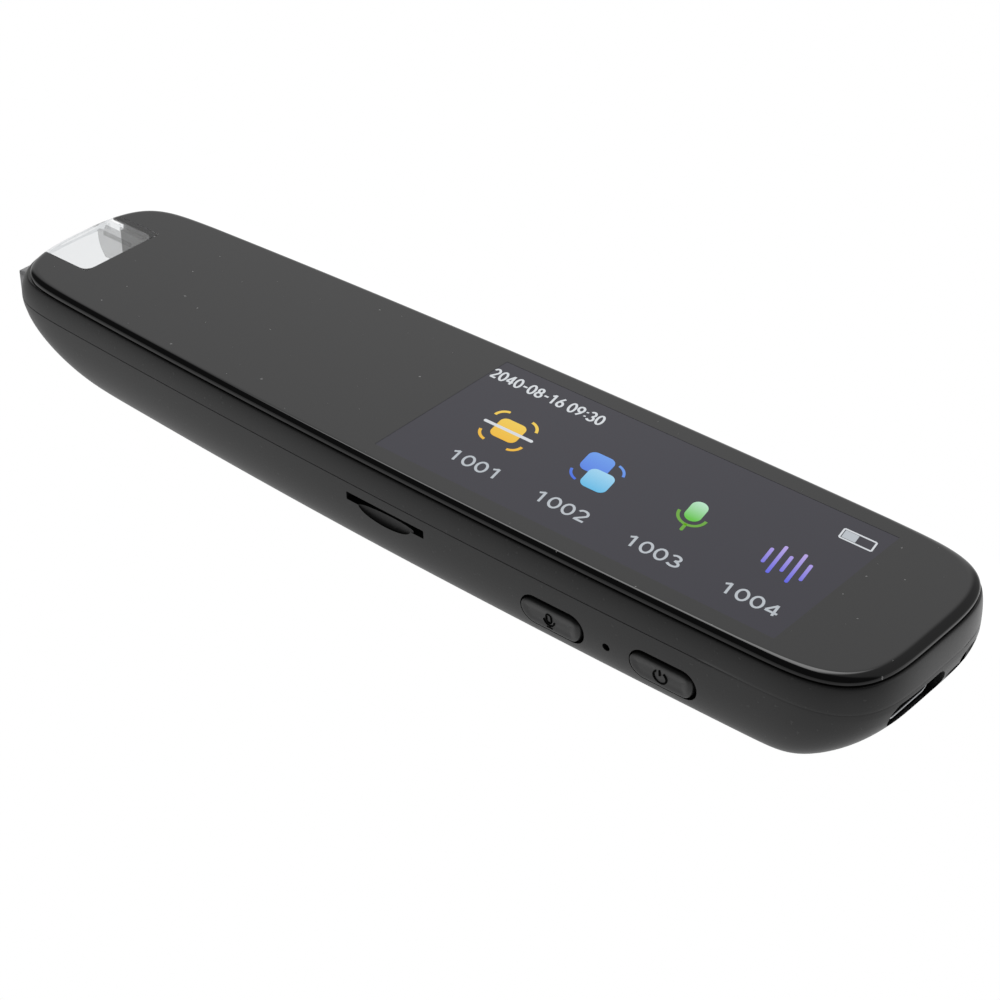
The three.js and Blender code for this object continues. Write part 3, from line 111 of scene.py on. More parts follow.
def plan_outline(count):
    """The glass's outline, closer together where it turns more."""
    middle_end = LENGTH - PORT_END_LENGTH
    near = TIP_LENGTH * np.linspace(0, 1, END_POINTS) ** 4
    far = LENGTH - PORT_END_LENGTH * np.linspace(1, 0, END_POINTS) ** 4
    x = np.concatenate([near, np.linspace(TIP_LENGTH, middle_end, MIDDLE_POINTS)[1:-1], far])
    points = np.stack([x, -half_width(x)], 1)
    step = np.diff(points, axis=0)
    length = np.hypot(step[:, 0], step[:, 1])
    angle = np.unwrap(np.arctan2(step[:, 1], step[:, 0]))
    bend = np.abs(np.diff(angle, prepend=angle[0]))
    measure = np.cumsum(length / length.sum() * LENGTH_WEIGHT + bend / bend.sum() * BEND_WEIGHT)
    measure = np.concatenate([[0.0], measure / measure[-1]])
    want = np.linspace(0, 1, count)
    half = np.stack([np.interp(want, measure, points[:, 0]), np.interp(want, measure, points[:, 1])], 1)
    half[0], half[-1] = (0.0, 0.0), (LENGTH, 0.0)
    return np.concatenate([half, (half[1:-1] * (1, -1))[::-1]])


def grown(loop, distance):
    """A loop moved outward by a distance, or by one distance for each point."""
    before, after = np.roll(loop, 1, 0), np.roll(loop, -1, 0)
    along = after - before
    along /= np.hypot(along[:, 0], along[:, 1])[:, None]
    return loop + distance * np.stack([along[:, 1], -along[:, 0]], 1)


def reached(loop, nose_reach):
    """The glass's outline, drawn out at the nose and a little at the port's end."""
    x = loop[:, 0]
    moved = x - nose_reach * clamp01(1 - x / NOSE_BLEND)
    moved = moved + PORT_END_REACH * clamp01(1 - (LENGTH - x) / PORT_END_BLEND)
    return np.stack([moved, loop[:, 1]], 1)


def corner_inset(z):
    """How far the rounded lower edge has drawn in at a height; it starts high up the wall."""
    turned = float(clamp01((EDGE_HEIGHT - z) / EDGE_HEIGHT))
    return EDGE_RADIUS * (1 - (1 - turned ** EDGE_POWER) ** (1 / EDGE_POWER))


def tub_loop(z, wall):
    """The tub's outline at a height, outside for wall 0 and inside for a wall's thickness."""
    depth = TUB_TOP - z
    if wall > 0:
        radius = EDGE_RADIUS - wall
        turned = clamp01((FLOOR + radius - z) / radius)
        inset = wall + DRAFT * depth + radius * (1 - math.sqrt(1 - turned ** 2))
    else:
        inset = DRAFT * depth + corner_inset(z)
    reach = min(TUB_TOP, depth + wall)
    bow = BOW * (reach / TUB_TOP) ** 2
    stern_turn = clamp01((reach - TUB_TOP + STERN_HEIGHT) / STERN_HEIGHT)
    stern = STERN * (1 - math.sqrt(1 - stern_turn ** 2))
    loop = grown(reached(OUTLINE, NOSE_REACH), BAND_GROW - inset)
    x = loop[:, 0]
    moved = x + bow * np.minimum(1, clamp01(1 - x / (LENGTH / 2)))
    moved -= stern * clamp01(1 - (LENGTH - x) / STERN_BLEND) ** 3
    return np.stack([moved, loop[:, 1]], 1)


def band_loop(z, wall, rise=SHOULDER):
    """The frame's outline at a height, with a shoulder that starts this far below its top."""
    share = float(clamp01((DECK_TOP - z) / (DECK_TOP - TUB_TOP)))
    shoulder = float(clamp01(1 - (DECK_TOP - z) / rise))
    inset = wall + SHOULDER * (1 - math.sqrt(1 - shoulder ** 2))
    reach = TOP_REACH + (NOSE_REACH - TOP_REACH) * math.sin(share * math.pi / 2)
    return grown(reached(OUTLINE, reach), BAND_GROW - inset)


def wall_y(x, z=KEY_Z):
    """Half the width of the tub at a place along it and a height."""
    return side_half_width(x) + BAND_GROW - DRAFT * (TUB_TOP - z) - corner_inset(z)


def groove_depth(loop):
    """The parting line's depth, which nearly closes at the near corner of the port's end."""
    faded = clamp01((loop[:, 0] - FADE_START) / FADE_LENGTH) * (loop[:, 1] < FADE_SIDE)
    return (GROOVE * (1 - FADE_SHARE * faded))[:, None]


def rounded(u0, u1, v0, v1, radius, steps=8):
    """The points of a rounded rectangle, counter-clockwise."""
    points = []
    corners = [(u1 - radius, v0 + radius), (u1 - radius, v1 - radius), (u0 + radius, v1 - radius),
               (u0 + radius, v0 + radius)]
    for corner, (u, v) in enumerate(corners):
        for i in range(steps + 1):
            turn = (corner - 1 + i / steps) * math.pi / 2
            points.append((u + radius * math.cos(turn), v + radius * math.sin(turn)))
    return points


# Solids and how they are cut and joined
def new_object(name, mesh):
    made = bpy.data.objects.new(name, mesh)
    bpy.context.scene.collection.objects.link(made)
    return made


def skin(name, rings):
    """A closed body over a stack of equal loops of 3-D points in millimetres."""
    count = len(rings[0])
    verts = [at(*p) for ring in rings for p in ring]
    faces = [tuple(reversed(range(count))), tuple(range((len(rings) - 1) * count, len(rings) * count))]
    for r in range(len(rings) - 1):
        low, high = r * count, (r + 1) * count
        faces += [(low + i, low + (i + 1) % count, high + (i + 1) % count, high + i) for i in range(count)]
    mesh = bpy.data.meshes.new(name)
    mesh.from_pydata(verts, [], faces)
    bm = bmesh.new()
    bm.from_mesh(mesh)
    bmesh.ops.recalc_face_normals(bm, faces=bm.faces)
    bm.to_mesh(mesh)
    bm.free()
    return new_object(name, mesh)


def flat_ring(loop, z):
    return [(x, y, z) for x, y in loop]


def slab(name, loop, z0, z1):
    return skin(name, [flat_ring(loop, z0), flat_ring(loop, z1)])


def side_slab(name, loop, y0, y1):
    """A slab whose outline lies in the XZ plane."""
    return skin(name, [[(x, y, z) for x, z in loop] for y in (y0, y1)])


def end_slab(name, loop, x0, x1):
    """A slab whose outline lies in the YZ plane."""
    return skin(name, [[(x, y, z) for y, z in loop] for x in (x0, x1)])


def block(name, x0, x1, y0, y1, z0, z1):
    return slab(name, [(x0, y0), (x1, y0), (x1, y1), (x0, y1)], z0, z1)


def disc_loop(u, v, radius, steps=32):
    turns = [i / steps * math.tau for i in range(steps)]
    return [(u + radius * math.cos(t), v + radius * math.sin(t)) for t in turns]


def joined(name, pieces):
    """One object from several, which are used up."""
    bm = bmesh.new()
    for piece in pieces:
        bm.from_mesh(piece.data)
        bpy.data.objects.remove(piece)
    mesh = bpy.data.meshes.new(name)
    bm.to_mesh(mesh)
    bm.free()
    return new_object(name, mesh)


def carve(base, tools, operation="DIFFERENCE"):
    """Cuts the tools out of the base, or joins or keeps what they share, and uses them up."""
    for tool in tools:
        step = base.modifiers.new("cut", "BOOLEAN")
        step.operation = operation
        step.solver = "EXACT"
        step.object = tool
    shown = base.evaluated_get(bpy.context.evaluated_depsgraph_get())
    mesh = bpy.data.meshes.new_from_object(shown)
    base.modifiers.clear()
    base.data = mesh
    for tool in tools:
        bpy.data.objects.remove(tool)
    return base


def smooth(piece, degrees=34):
    """Shades a piece smooth, with its edges kept sharp where they turn by more than an angle."""
    bm = bmesh.new()
    bm.from_mesh(piece.data)
    bmesh.ops.remove_doubles(bm, verts=bm.verts, dist=2e-7)
    for face in bm.faces:
        face.smooth = True
    for edge in bm.edges:
        edge.smooth = len(edge.link_faces) == 2 and edge.calc_face_angle(0.0) < math.radians(degrees)
    bm.to_mesh(piece.data)
    bm.free()


def keep_inside(piece, node):
    """Holds every point of a piece inside the box of the CAD node it stands for."""
    lo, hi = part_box(node)
    for vert in piece.data.vertices:
        for i in range(3):
            vert.co[i] = min(max(vert.co[i], lo[i]), hi[i])


# Node helpers
class Tree:
    """Adds nodes to a node tree and links them by input name or number."""

    def __init__(self, tree):
        self.tree = tree

    def new(self, kind, inputs=None, **settings):
        node = self.tree.nodes.new(kind)
        for key, value in settings.items():
            setattr(node, key, value)
        for key, value in (inputs or {}).items():
            self.put(node.inputs[key], value)
        return node

    def put(self, target, value):
        if isinstance(value, bpy.types.NodeSocket):
            self.tree.links.new(value, target)
        else:
            target.default_value = value

    def math(self, operation, a, b=0.0, c=0.0, clamp=False):
        node = self.new("ShaderNodeMath", {0: a, 1: b, 2: c}, operation=operation)
        node.use_clamp = clamp
        return node.outputs[0]

    def smoothstep(self, value, low, high, to_low=0.0, to_high=1.0):
        node = self.new("ShaderNodeMapRange", {"Value": value, "From Min": low, "From Max": high,
                                               "To Min": to_low, "To Max": to_high})
        node.interpolation_type = "SMOOTHSTEP"
        return node.outputs["Result"]

    def ramp(self, value, stops):
        node = self.new("ShaderNodeValToRGB", {0: value})
        elements = node.color_ramp.elements
        while len(elements) < len(stops):
            elements.new(0.5)
        for element, (place, colour) in zip(elements, stops):
            element.position = place
            element.color = (*colour, 1.0)
        return node.outputs[0]

    def mix(self, share, a, b, kind="MIX"):
        node = self.new("ShaderNodeMix", {0: share}, data_type="RGBA", blend_type=kind)
        self.put(node.inputs[6], a)
        self.put(node.inputs[7], b)
        return node.outputs[2]


def group(name, inputs, outputs, build):
    """A node group that gives only colours, values, masks or normals."""
    tree = bpy.data.node_groups.new(name, "ShaderNodeTree")
    for key, value in inputs.items():
        kind = "NodeSocketFloat" if isinstance(value, float) else "NodeSocketColor"
        made = tree.interface.new_socket(key, in_out="INPUT", socket_type=kind)
        made.default_value = value
    for key, kind in outputs.items():
        tree.interface.new_socket(key, in_out="OUTPUT", socket_type=kind)
    start = tree.nodes.new("NodeGroupInput")
    end = tree.nodes.new("NodeGroupOutput")
    build(Tree(tree), start.outputs, lambda key, value: tree.links.new(value, end.inputs[key]))
    return tree


def build_grain(t, given, give):
    """Uneven roughness, a fine bump, a few specks and a slow change over the surface."""
    place = t.new("ShaderNodeTexCoord").outputs["Object"]
    fine = t.new("ShaderNodeTexNoise", {"Vector": place, "Scale": given["Scale"], "Detail": 3.0,
                                        "Roughness": 0.6})
    broad = t.new("ShaderNodeTexNoise", {"Vector": place, "Scale": 90.0, "Detail": 2.0})
    spots = t.new("ShaderNodeTexNoise", {"Vector": place, "Scale": 1500.0, "Detail": 1.0})
    speck = t.ramp(spots.outputs["Fac"], [(0.0, (0, 0, 0)), (0.71, (0, 0, 0)), (0.76, (1, 1, 1)),
                                          (1.0, (1, 1, 1))])
    uneven = t.math("MULTIPLY_ADD", broad.outputs["Fac"], given["Uneven"], given["Base"])
    give("Roughness", t.math("MULTIPLY_ADD", speck, given["Uneven"], uneven, clamp=True))
    give("Speck", speck)
    bump = t.new("ShaderNodeBump", {"Height": fine.outputs["Fac"], "Strength": given["Bump"],
                                    "Distance": 0.00004})
    give("Normal", bump.outputs["Normal"])
    give("Broad", broad.outputs["Fac"])


GRAIN = group("grain", {"Scale": 3500.0, "Base": 0.3, "Uneven": 0.1, "Bump": 0.1},
              {"Roughness": "NodeSocketFloat", "Speck": "NodeSocketFloat", "Normal": "NodeSocketVector",
               "Broad": "NodeSocketFloat"}, build_grain)


def build_dust(t, given, give):
    """Scattered dots of dust, most of them too small to see."""
    place = t.new("ShaderNodeTexCoord").outputs["Object"]
    cells = t.new("ShaderNodeTexVoronoi", {"Vector": place, "Scale": given["Scale"]}, voronoi_dimensions="2D")
    size = t.new("ShaderNodeSeparateColor", {0: cells.outputs["Color"]}).outputs[0]
    reach = t.math("MULTIPLY", t.math("POWER", size, 6.0), given["Size"])
    give("Dust", t.math("LESS_THAN", cells.outputs["Distance"], reach))


DUST = group("dust", {"Scale": 260.0, "Size": 0.045}, {"Dust": "NodeSocketFloat"}, build_dust)


def material(name, base, roughness=0.4, uneven=0.08, bump=0.12, scale=3500.0, speck=None, vary=0.12, dust=False,
             **shader):
    """A Principled material with uneven roughness, a fine grain, a slow change of tone and a few specks.

    What is the same all over the surface is set on the shader's own socket.
    """
    made = bpy.data.materials.new(name)
    made.use_nodes = True
    t = Tree(made.node_tree)
    bsdf = made.node_tree.nodes["Principled BSDF"]
    for key, value in shader.items():
        t.put(bsdf.inputs[key.replace("_", " ")], value)
    bsdf.inputs["Base Color"].default_value = (*base, 1.0)
    bsdf.inputs["Roughness"].default_value = roughness
    if not (uneven or bump or vary or speck):
        return made
    grain = t.new("ShaderNodeGroup", node_tree=GRAIN)
    for key, value in {"Scale": scale, "Base": roughness - uneven / 2, "Uneven": uneven, "Bump": bump}.items():
        grain.inputs[key].default_value = value
    if vary:
        dark = tuple(c * (1 - vary) for c in base)
        light = tuple(min(1.0, c * (1 + vary)) for c in base)
        colour = t.ramp(grain.outputs["Broad"], [(0.3, dark), (0.7, light)])
        if speck:
            colour = t.mix(grain.outputs["Speck"], colour, (*speck, 1.0))
        if dust:
            spots = t.new("ShaderNodeGroup", node_tree=DUST).outputs[0]
            colour = t.mix(spots, colour, (0.3, 0.3, 0.3, 1.0))
        t.put(bsdf.inputs["Base Color"], colour)
    if uneven:
        t.put(bsdf.inputs["Roughness"], grain.outputs["Roughness"])
    if bump:
        t.put(bsdf.inputs["Normal"], grain.outputs["Normal"])
    return made


MATERIALS = {
    "cover_glass": material("cover_glass", (0.98, 0.985, 0.985), 0.0, 0.0, 0.0, vary=0.0,
                            Transmission_Weight=1.0, IOR=1.5),
    "print_film": material("print_film", (0.004, 0.004, 0.0045), 0.02, 0.0, 0.0, vary=0.1),
    "black_plastic": material("black_plastic", (0.016, 0.016, 0.0165), 0.36, 0.06, 0.25, 5200.0,
                              speck=(0.04, 0.04, 0.04)),
    "clear_plastic": material("clear_plastic", (0.82, 0.83, 0.84), 0.03, 0.04, 0.0, vary=0.0,
                              Transmission_Weight=1.0, IOR=1.06),
    "pale_plastic": material("pale_plastic", (0.6, 0.61, 0.61), 0.45, 0.1, 0.1),
    "black_rubber": material("black_rubber", (0.02, 0.02, 0.02), 0.75, 0.1, 0.3),
    "circuit_board": material("circuit_board", (0.012, 0.09, 0.045), 0.32, 0.1, 0.1,
                              speck=(0.55, 0.42, 0.18)),
    "amber_film": material("amber_film", (0.36, 0.17, 0.03), 0.3, 0.1, 0.05),
    "bright_steel": material("bright_steel", (0.6, 0.61, 0.63), 0.22, 0.1, 0.1, Metallic=1.0),
    "chip_black": material("chip_black", (0.018, 0.018, 0.02), 0.5, 0.1, 0.2),
    "cell_foil": material("cell_foil", (0.55, 0.56, 0.58), 0.36, 0.14, 0.3, 900.0, Metallic=1.0),
    "display_glass": material("display_glass", (0.006, 0.006, 0.009), 0.02, 0.01, 0.0),
    "red_wire": material("red_wire", (0.42, 0.02, 0.015), 0.45, 0.1, 0.1),
    "lamp_resin": material("lamp_resin", (0.8, 0.72, 0.4), 0.25, 0.1, 0.05),
}
PRINTED = material("printed_glass", (0.004, 0.004, 0.0045), 0.02, 0.0, 0.0, vary=0.1, dust=True)
# A smoky clear tint: on the head's inner wall it also paints the shade on the pale wall seen through it, and laid
# twice it paints a shadow line
SMOKE_AND_PAINTED_SHADE = material("smoky_rib_and_painted_shade", (0.54, 0.54, 0.54), 0.0, 0.0, 0.0, vary=0.0, Transmission_Weight=1.0, IOR=1.0)


def matte_near_window():
    """Under the scanning window's edge the film isn't glossy: the glass above it is what reflects there."""
    tree = MATERIALS["print_film"].node_tree
    t = Tree(tree)
    place = t.new("ShaderNodeTexCoord").outputs["Object"]
    x = t.new("ShaderNodeSeparateXYZ", {0: place}).outputs[0]
    start = at(WINDOW_DEPTH + 1.2, 0, 0).x
    share = t.smoothstep(x, start, start + 0.2 * MM, 0.0, 0.5)
    t.put(tree.nodes["Principled BSDF"].inputs["Specular IOR Level"], share)


matte_near_window()

for part in frame["record"]["subparts"]:
    thing = frame["nodes"][part["node"]]
    chosen = MATERIALS[part["material_slot"]]
    if not thing.data.materials:
        thing.data.materials.append(chosen)
    for i in range(len(thing.data.materials)):
        thing.data.materials[i] = chosen


def dress(piece, slot, body="case", stands_for=None, paint=None):
    """Gives a piece its material and the body it moves with; for a CAD node it stands for, holds it inside that
    node's box and hides the node.
    """
    if not piece.data.materials:
        piece.data.materials.append(paint or MATERIALS[slot])
    if stands_for:
        keep_inside(piece, stands_for)
        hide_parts(stands_for)
    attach(piece, body)
    return piece


OUTLINE = plan_outline(190)


# Cover glass: upright edge below, a rounded one above, clear over the scanning window and black-backed elsewhere
PANE_BOTTOM, PANE_EDGE = 13.5, 13.62
ROUND_WIDTH, ROUND_DEPTH, ROUND_STEPS = 0.85, 0.75, 20
# How much wider the rounded edge is toward the port's end and toward the tip
WIDER_AT_PORT, WIDER_AT_TIP = 0.65, 0.35
CLEAR_MARGIN = 0.55
# The lit display fills a shallow pocket in the top face: under the whole pane its dark tones would drown in grain
SCREEN = (69.9, 131.3, 12.85)
POCKET_FLOOR = 14.466


def cover_glass():
    rings = [flat_ring(OUTLINE, PANE_BOTTOM), flat_ring(OUTLINE, PANE_EDGE)]
    at_port = clamp01((OUTLINE[:, 0] - 128) / 15)
    at_tip = clamp01((14 - OUTLINE[:, 0]) / 10)
    width = ROUND_WIDTH + (WIDER_AT_PORT * at_port + WIDER_AT_TIP * at_tip)[:, None]
    for i in range(ROUND_STEPS + 1):
        turn = i / ROUND_STEPS * math.pi / 2
        loop = grown(OUTLINE, -width * (1 - math.cos(turn)))
        rings.append(flat_ring(loop, TOP - ROUND_DEPTH * (1 - math.sin(turn))))
    rings.append(flat_ring(grown(OUTLINE, -width - 0.25), TOP))
    pane = skin("pane", rings)
    carve(pane, [block("display_pocket", SCREEN[0], SCREEN[1], -SCREEN[2], SCREEN[2], POCKET_FLOOR, 15.0)])
    bm = bmesh.new()
    bm.from_mesh(pane.data)
    # The window is cut into the faces below, and a little larger into those above
    window = (-1.0, WINDOW_DEPTH, WINDOW_HALF)
    for (x0, x1, half), sign, margin in ((window, -1, 0.0), (window, 1, CLEAR_MARGIN)):
        planes = [(at(x0 - margin, 0, 0), (1, 0, 0)), (at(x1 + margin, 0, 0), (1, 0, 0)),
                  (at(0, -half - margin, 0), (0, 1, 0)), (at(0, half + margin, 0), (0, 1, 0))]
        for place, normal in planes:
            faces = [f for f in bm.faces if f.normal.z * sign > 0.02]
            parts = faces + list({v for f in faces for v in f.verts}) + list({e for f in faces for e in f.edges})
            bmesh.ops.bisect_plane(bm, geom=parts, plane_co=place, plane_no=normal, dist=1e-8)
    for face in bm.faces:
        spot = (face.calc_center_median() - ZERO) / MM
        below = face.normal.z < -0.9
        margin = 0.0 if below else CLEAR_MARGIN
        clear = spot.x < WINDOW_DEPTH + margin and abs(spot.y) < WINDOW_HALF + margin
        face.material_index = 0 if clear else 1
    bm.to_mesh(pane.data)
    bm.free()
    smooth(pane)
    for paint in (MATERIALS["cover_glass"], PRINTED):
        pane.data.materials.append(paint)
    return dress(pane, "cover_glass", stands_for="cover_glass")


# Housing
# Rings up the rounded lower edge and the side, outside and inside
EDGE_STEPS, SIDE_STEPS, ROOM_EDGE_STEPS, ROOM_SIDE_STEPS = 26, 4, 6, 10
# The two shells overlap in a tongue and a rebate
REBATE_DEPTH, REBATE_FOOT, REBATE_TOP = 0.8, 8.8, 11
TONGUE_FOOT, TONGUE_TOP, TONGUE_PLAY, TONGUE_INSIDE = 8.92, 10.0, 0.12, 0.15
# Screw posts from foot to top, with pilot holes, and the solid corner round the eyelet's bore
POST_RADIUS, POST_FOOT, POST_TOP = 1.8, 0.7, 8.3
PILOT_RADIUS, PILOT_FOOT, PILOT_TOP = 0.75, 2.3, 9.3
EYELET_CORNER = (137.2, 150, 1.8, 20, 4.6, 8.8)
# Openings: along and up for those in the side, along and across for those in the floor
PINHOLE_RADIUS = 0.55
CARD_SLOT, CARD_CORNER, CARD_WALL = (67.8, 81.1, 6.9, 8.1), 0.12, 67.9
SOUND_SLOTS, SOUND_MIDDLE, SOUND_PITCH, SOUND_HALF, SOUND_SIDES = 6, 97, 2.1, 0.5, (2.3, 8.7)
SCAN_MOUTH, MOUTH_CORNER = (1.6, 9.0, -6.3, 6.3), 1.6
PORT_ROOM_LENGTH, PORT_ROOM_HEIGHT, PORT_ROOM_CORNER, PORT_ROOM_DEPTH = 5.35, 1.86, 1.8, (140.2, 147)
NOSE_HALF, NOSE_BOTTOM, NOSE_BACK, NOSE_CORNER = 9.4, 5.8, 4.83, 0.2
# Lens shapes: middle and half sizes, and the bore between the eyelet's two mouths
SCOOP_X, SCOOP_TOP, SCOOP_RADII = 74.5, 7.0, (4.7, 0.62, 1.5)
EYELET_LENS, EYELET_LENS_RADII, EYELET_LENS_TURN = (145.75, 7.0, 7.2), (1.1, 3.6, 1.45), 20
EYELET_RADIUS, EYELET_STRETCH, EYELET_LENGTH, EYELET_TURN = 0.7, 1.35, 31.2, 0.36
EYELET_Y, EYELET_Z = 4.8, 6.6
# Openings in the upper shell: display, window, room over the port's shell, and the gap at the window's far corner
DISPLAY_OPENING, DISPLAY_CORNER, DISPLAY_FOOT = (66.25, 136.15, -14.45, 14.45), 0.5, 11.25
WINDOW_NOTCH, NOTCH_CORNER, NOTCH_HEIGHTS = (-3.45, WINDOW_DEPTH, -6.8, 6.8), 1.4, (8.6, 14.25)
PORT_RELIEF = (135.5, 144.2, -8.07, 1.27, 7.8, 9.48)
CLEAR_GAP = (-3.45, 3.0, 5.9, 9.0, 10.4, 12.9)


def quarter(steps):
    """Angles from 0 to a quarter turn."""
    return [i / steps * math.pi / 2 for i in range(steps + 1)]


def tub_rings():
    heights = [EDGE_HEIGHT * (1 - max(0.0, math.cos(t)) ** (2 / EDGE_POWER)) for t in quarter(EDGE_STEPS)]
    rise = TUB_TOP - GROOVE - EDGE_HEIGHT
    heights += [EDGE_HEIGHT + rise * i / SIDE_STEPS for i in range(1, SIDE_STEPS + 1)]
    return [flat_ring(tub_loop(z, 0), z) for z in heights]


def room_rings():
    radius = EDGE_RADIUS - WALL
    heights = [FLOOR + radius * (1 - math.cos(t)) for t in quarter(ROOM_EDGE_STEPS)]
    rise = TUB_TOP - GROOVE - FLOOR - radius
    heights += [FLOOR + radius + rise * i / ROOM_SIDE_STEPS for i in range(1, ROOM_SIDE_STEPS + 1)]
    return [flat_ring(tub_loop(z, WALL), z) for z in heights]


def through_wall(name, loop, x):
    """A cutter that passes through the side wall at a place along it."""
    wall = wall_y(x)
    return side_slab(name, loop, -wall - 1, -wall + WALL + 1)


def nose_hole(top):
    """A cutter for the hole that the head slides in."""
    return end_slab("nose_hole", rounded(-NOSE_HALF, NOSE_HALF, NOSE_BOTTOM, top, NOSE_CORNER, 3), -5, NOSE_BACK)


def pill(u, v, half_length, half_height, steps):
    """A loop with ends that are nearly half circles."""
    return rounded(u - half_length, u + half_length, v - half_height, v + half_height, half_height * 0.97, steps)


def key_loop(x):
    return np.array(pill(x, KEY_Z, KEY_HALF_LENGTH, KEY_HALF_HEIGHT, 14))


def key_holes():
    """Cutters for the holes round the keys, with more room above them and toward the port."""
    holes = []
    for x in KEY_PLACES:
        loop = key_loop(x)
        out = grown(loop, 1.0) - loop
        room = KEY_ROOM + KEY_MORE_ROOM * np.maximum(0, out[:, 1] + 0.6 * out[:, 0])
        holes.append(through_wall("key_hole", grown(loop, room[:, None]), x))
    return holes


def lower_housing():
    rings = tub_rings()
    top_loop = tub_loop(TUB_TOP, 0)
    rings.append(flat_ring(grown(top_loop, -groove_depth(top_loop)), TUB_TOP))
    tub = skin("tub", rings)
    inner = room_rings()
    inner.append(flat_ring(tub_loop(TUB_TOP, WALL), TUB_TOP + 1))
    room = skin("room", inner)
    kept = [slab("post", disc_loop(x, y, POST_RADIUS), POST_FOOT, POST_TOP) for x, y in SCREWS]
    kept.append(block("corner", *EYELET_CORNER))
    carve(room, [joined("kept", kept)])
    rebate = slab("rebate", grown(tub_loop(TUB_TOP, 0), REBATE_DEPTH - WALL), REBATE_FOOT, REBATE_TOP)
    tools = key_holes()
    middle = sum(KEY_PLACES) / 2
    tools.append(through_wall("pinhole", disc_loop(middle, KEY_Z, PINHOLE_RADIUS), middle))
    tools.append(through_wall("card_slot", rounded(*CARD_SLOT, CARD_CORNER), CARD_WALL))
    for i in range(SOUND_SLOTS):
        x = SOUND_MIDDLE + (i - (SOUND_SLOTS - 1) / 2) * SOUND_PITCH
        loop = rounded(x - SOUND_HALF, x + SOUND_HALF, *SOUND_SIDES, SOUND_HALF * 0.97)
        tools.append(slab("sound_slot", loop, -1, FLOOR + 1))
    tools += [slab("pilot", disc_loop(x, y, PILOT_RADIUS), PILOT_FOOT, PILOT_TOP) for x, y in SCREWS]
    port_loop = rounded(PORT_Y - PORT_ROOM_LENGTH, PORT_Y + PORT_ROOM_LENGTH, PORT_Z - PORT_ROOM_HEIGHT,
                        PORT_Z + PORT_ROOM_HEIGHT, PORT_ROOM_CORNER, 14)
    tools.append(end_slab("port_hole", port_loop, *PORT_ROOM_DEPTH))
    tools.append(slab("mouth", rounded(*SCAN_MOUTH, MOUTH_CORNER), -1, TUB_TOP))
    openings = joined("openings", tools)
    carve(tub, [room, rebate, openings, nose_hole(12.0), scoop(), eyelet_scoop(), eyelet()])
    smooth(tub)
    return dress(tub, "black_plastic", stands_for="lower_housing")


def from_bmesh(name, bm):
    mesh = bpy.data.meshes.new(name)
    bm.to_mesh(mesh)
    bm.free()
    return new_object(name, mesh)


def lens(name, middle, radii, degrees):
    """A stretched ball with three half sizes in millimetres, turned about the vertical."""
    bm = bmesh.new()
    bmesh.ops.create_uvsphere(bm, u_segments=64, v_segments=40, radius=1.0)
    turned = Matrix.Rotation(math.radians(degrees), 4, "Z")
    stretch = Matrix.Diagonal((*(radius * MM for radius in radii), 1))
    bm.transform(Matrix.Translation(at(*middle)) @ turned @ stretch)
    return from_bmesh(name, bm)


def scoop():
    """The shallow fingernail scoop, which ends at the card slot above it."""
    ball = lens("scoop", (SCOOP_X, -wall_y(SCOOP_X), SCOOP_TOP), SCOOP_RADII, 0)
    return carve(ball, [block("below_slot", 66, 84, -20, -10, 4, SCOOP_TOP)], "INTERSECT")


def eyelet_scoop():
    """The shallow lens-shaped recess where the eyelet's bore begins."""
    return lens("eyelet_scoop", EYELET_LENS, EYELET_LENS_RADII, EYELET_LENS_TURN)


def eyelet():
    """The bore that enters beside the port and comes out round the corner."""
    bm = bmesh.new()
    radius, depth = EYELET_RADIUS * MM, EYELET_LENGTH * MM
    bmesh.ops.create_cone(bm, cap_ends=True, segments=64, radius1=radius, radius2=radius, depth=depth)
    place = Matrix.Translation(at(LENGTH, EYELET_Y, EYELET_Z))
    turned = Matrix.Rotation(math.pi / 2 - EYELET_TURN * math.pi, 4, "Z")
    along_y = Matrix.Rotation(math.pi / 2, 4, "X")
    bm.transform(place @ turned @ Matrix.Diagonal((EYELET_STRETCH, 1, 1, 1)) @ along_y)
    return from_bmesh("eyelet", bm)


def upper_housing():
    low = DECK_TOP - SHOULDER
    start = DECK_TOP - TALL_SHOULDER
    heights = [TUB_TOP + GROOVE, start]
    heights += [start + TALL_SHOULDER * math.sin(i / 20 * math.pi / 2) for i in range(1, 21)]
    low_loop = band_loop(TUB_TOP, 0)
    rings = [flat_ring(grown(low_loop, -groove_depth(low_loop)), TUB_TOP)]
    rings += [flat_ring(band_loop(z, 0, TALL_SHOULDER), z) for z in heights]
    rim = skin("rim", rings)
    room = skin("rim_room", [flat_ring(band_loop(min(z, low), WALL), z) for z in (8.6, 10.0, 11.0, 12.25)])
    tongue_loop = grown(tub_loop(TUB_TOP, 0), REBATE_DEPTH - WALL - TONGUE_PLAY)
    tongue = slab("tongue", tongue_loop, TONGUE_FOOT, TONGUE_TOP)
    carve(tongue, [slab("tongue_room", grown(tub_loop(TUB_TOP, 0), TONGUE_INSIDE - WALL), 7.9, 10.6)])
    carve(rim, [room])
    carve(rim, [tongue], "UNION")
    opening = slab("display_opening", rounded(*DISPLAY_OPENING, DISPLAY_CORNER), DISPLAY_FOOT, TOP)
    notch = slab("notch", rounded(*WINDOW_NOTCH, NOTCH_CORNER), *NOTCH_HEIGHTS)
    relief, gap = block("relief", *PORT_RELIEF), block("clear_gap", *CLEAR_GAP)
    carve(rim, [opening, nose_hole(11.2), notch, relief, gap])
    smooth(rim)
    return dress(rim, "black_plastic", stands_for="upper_housing")


# Keys: a cap that follows the wall, rounded more along its top and toward the port, and a flange behind the wall
KEY_DISH, KEY_PROUD = 0.1, 0.02
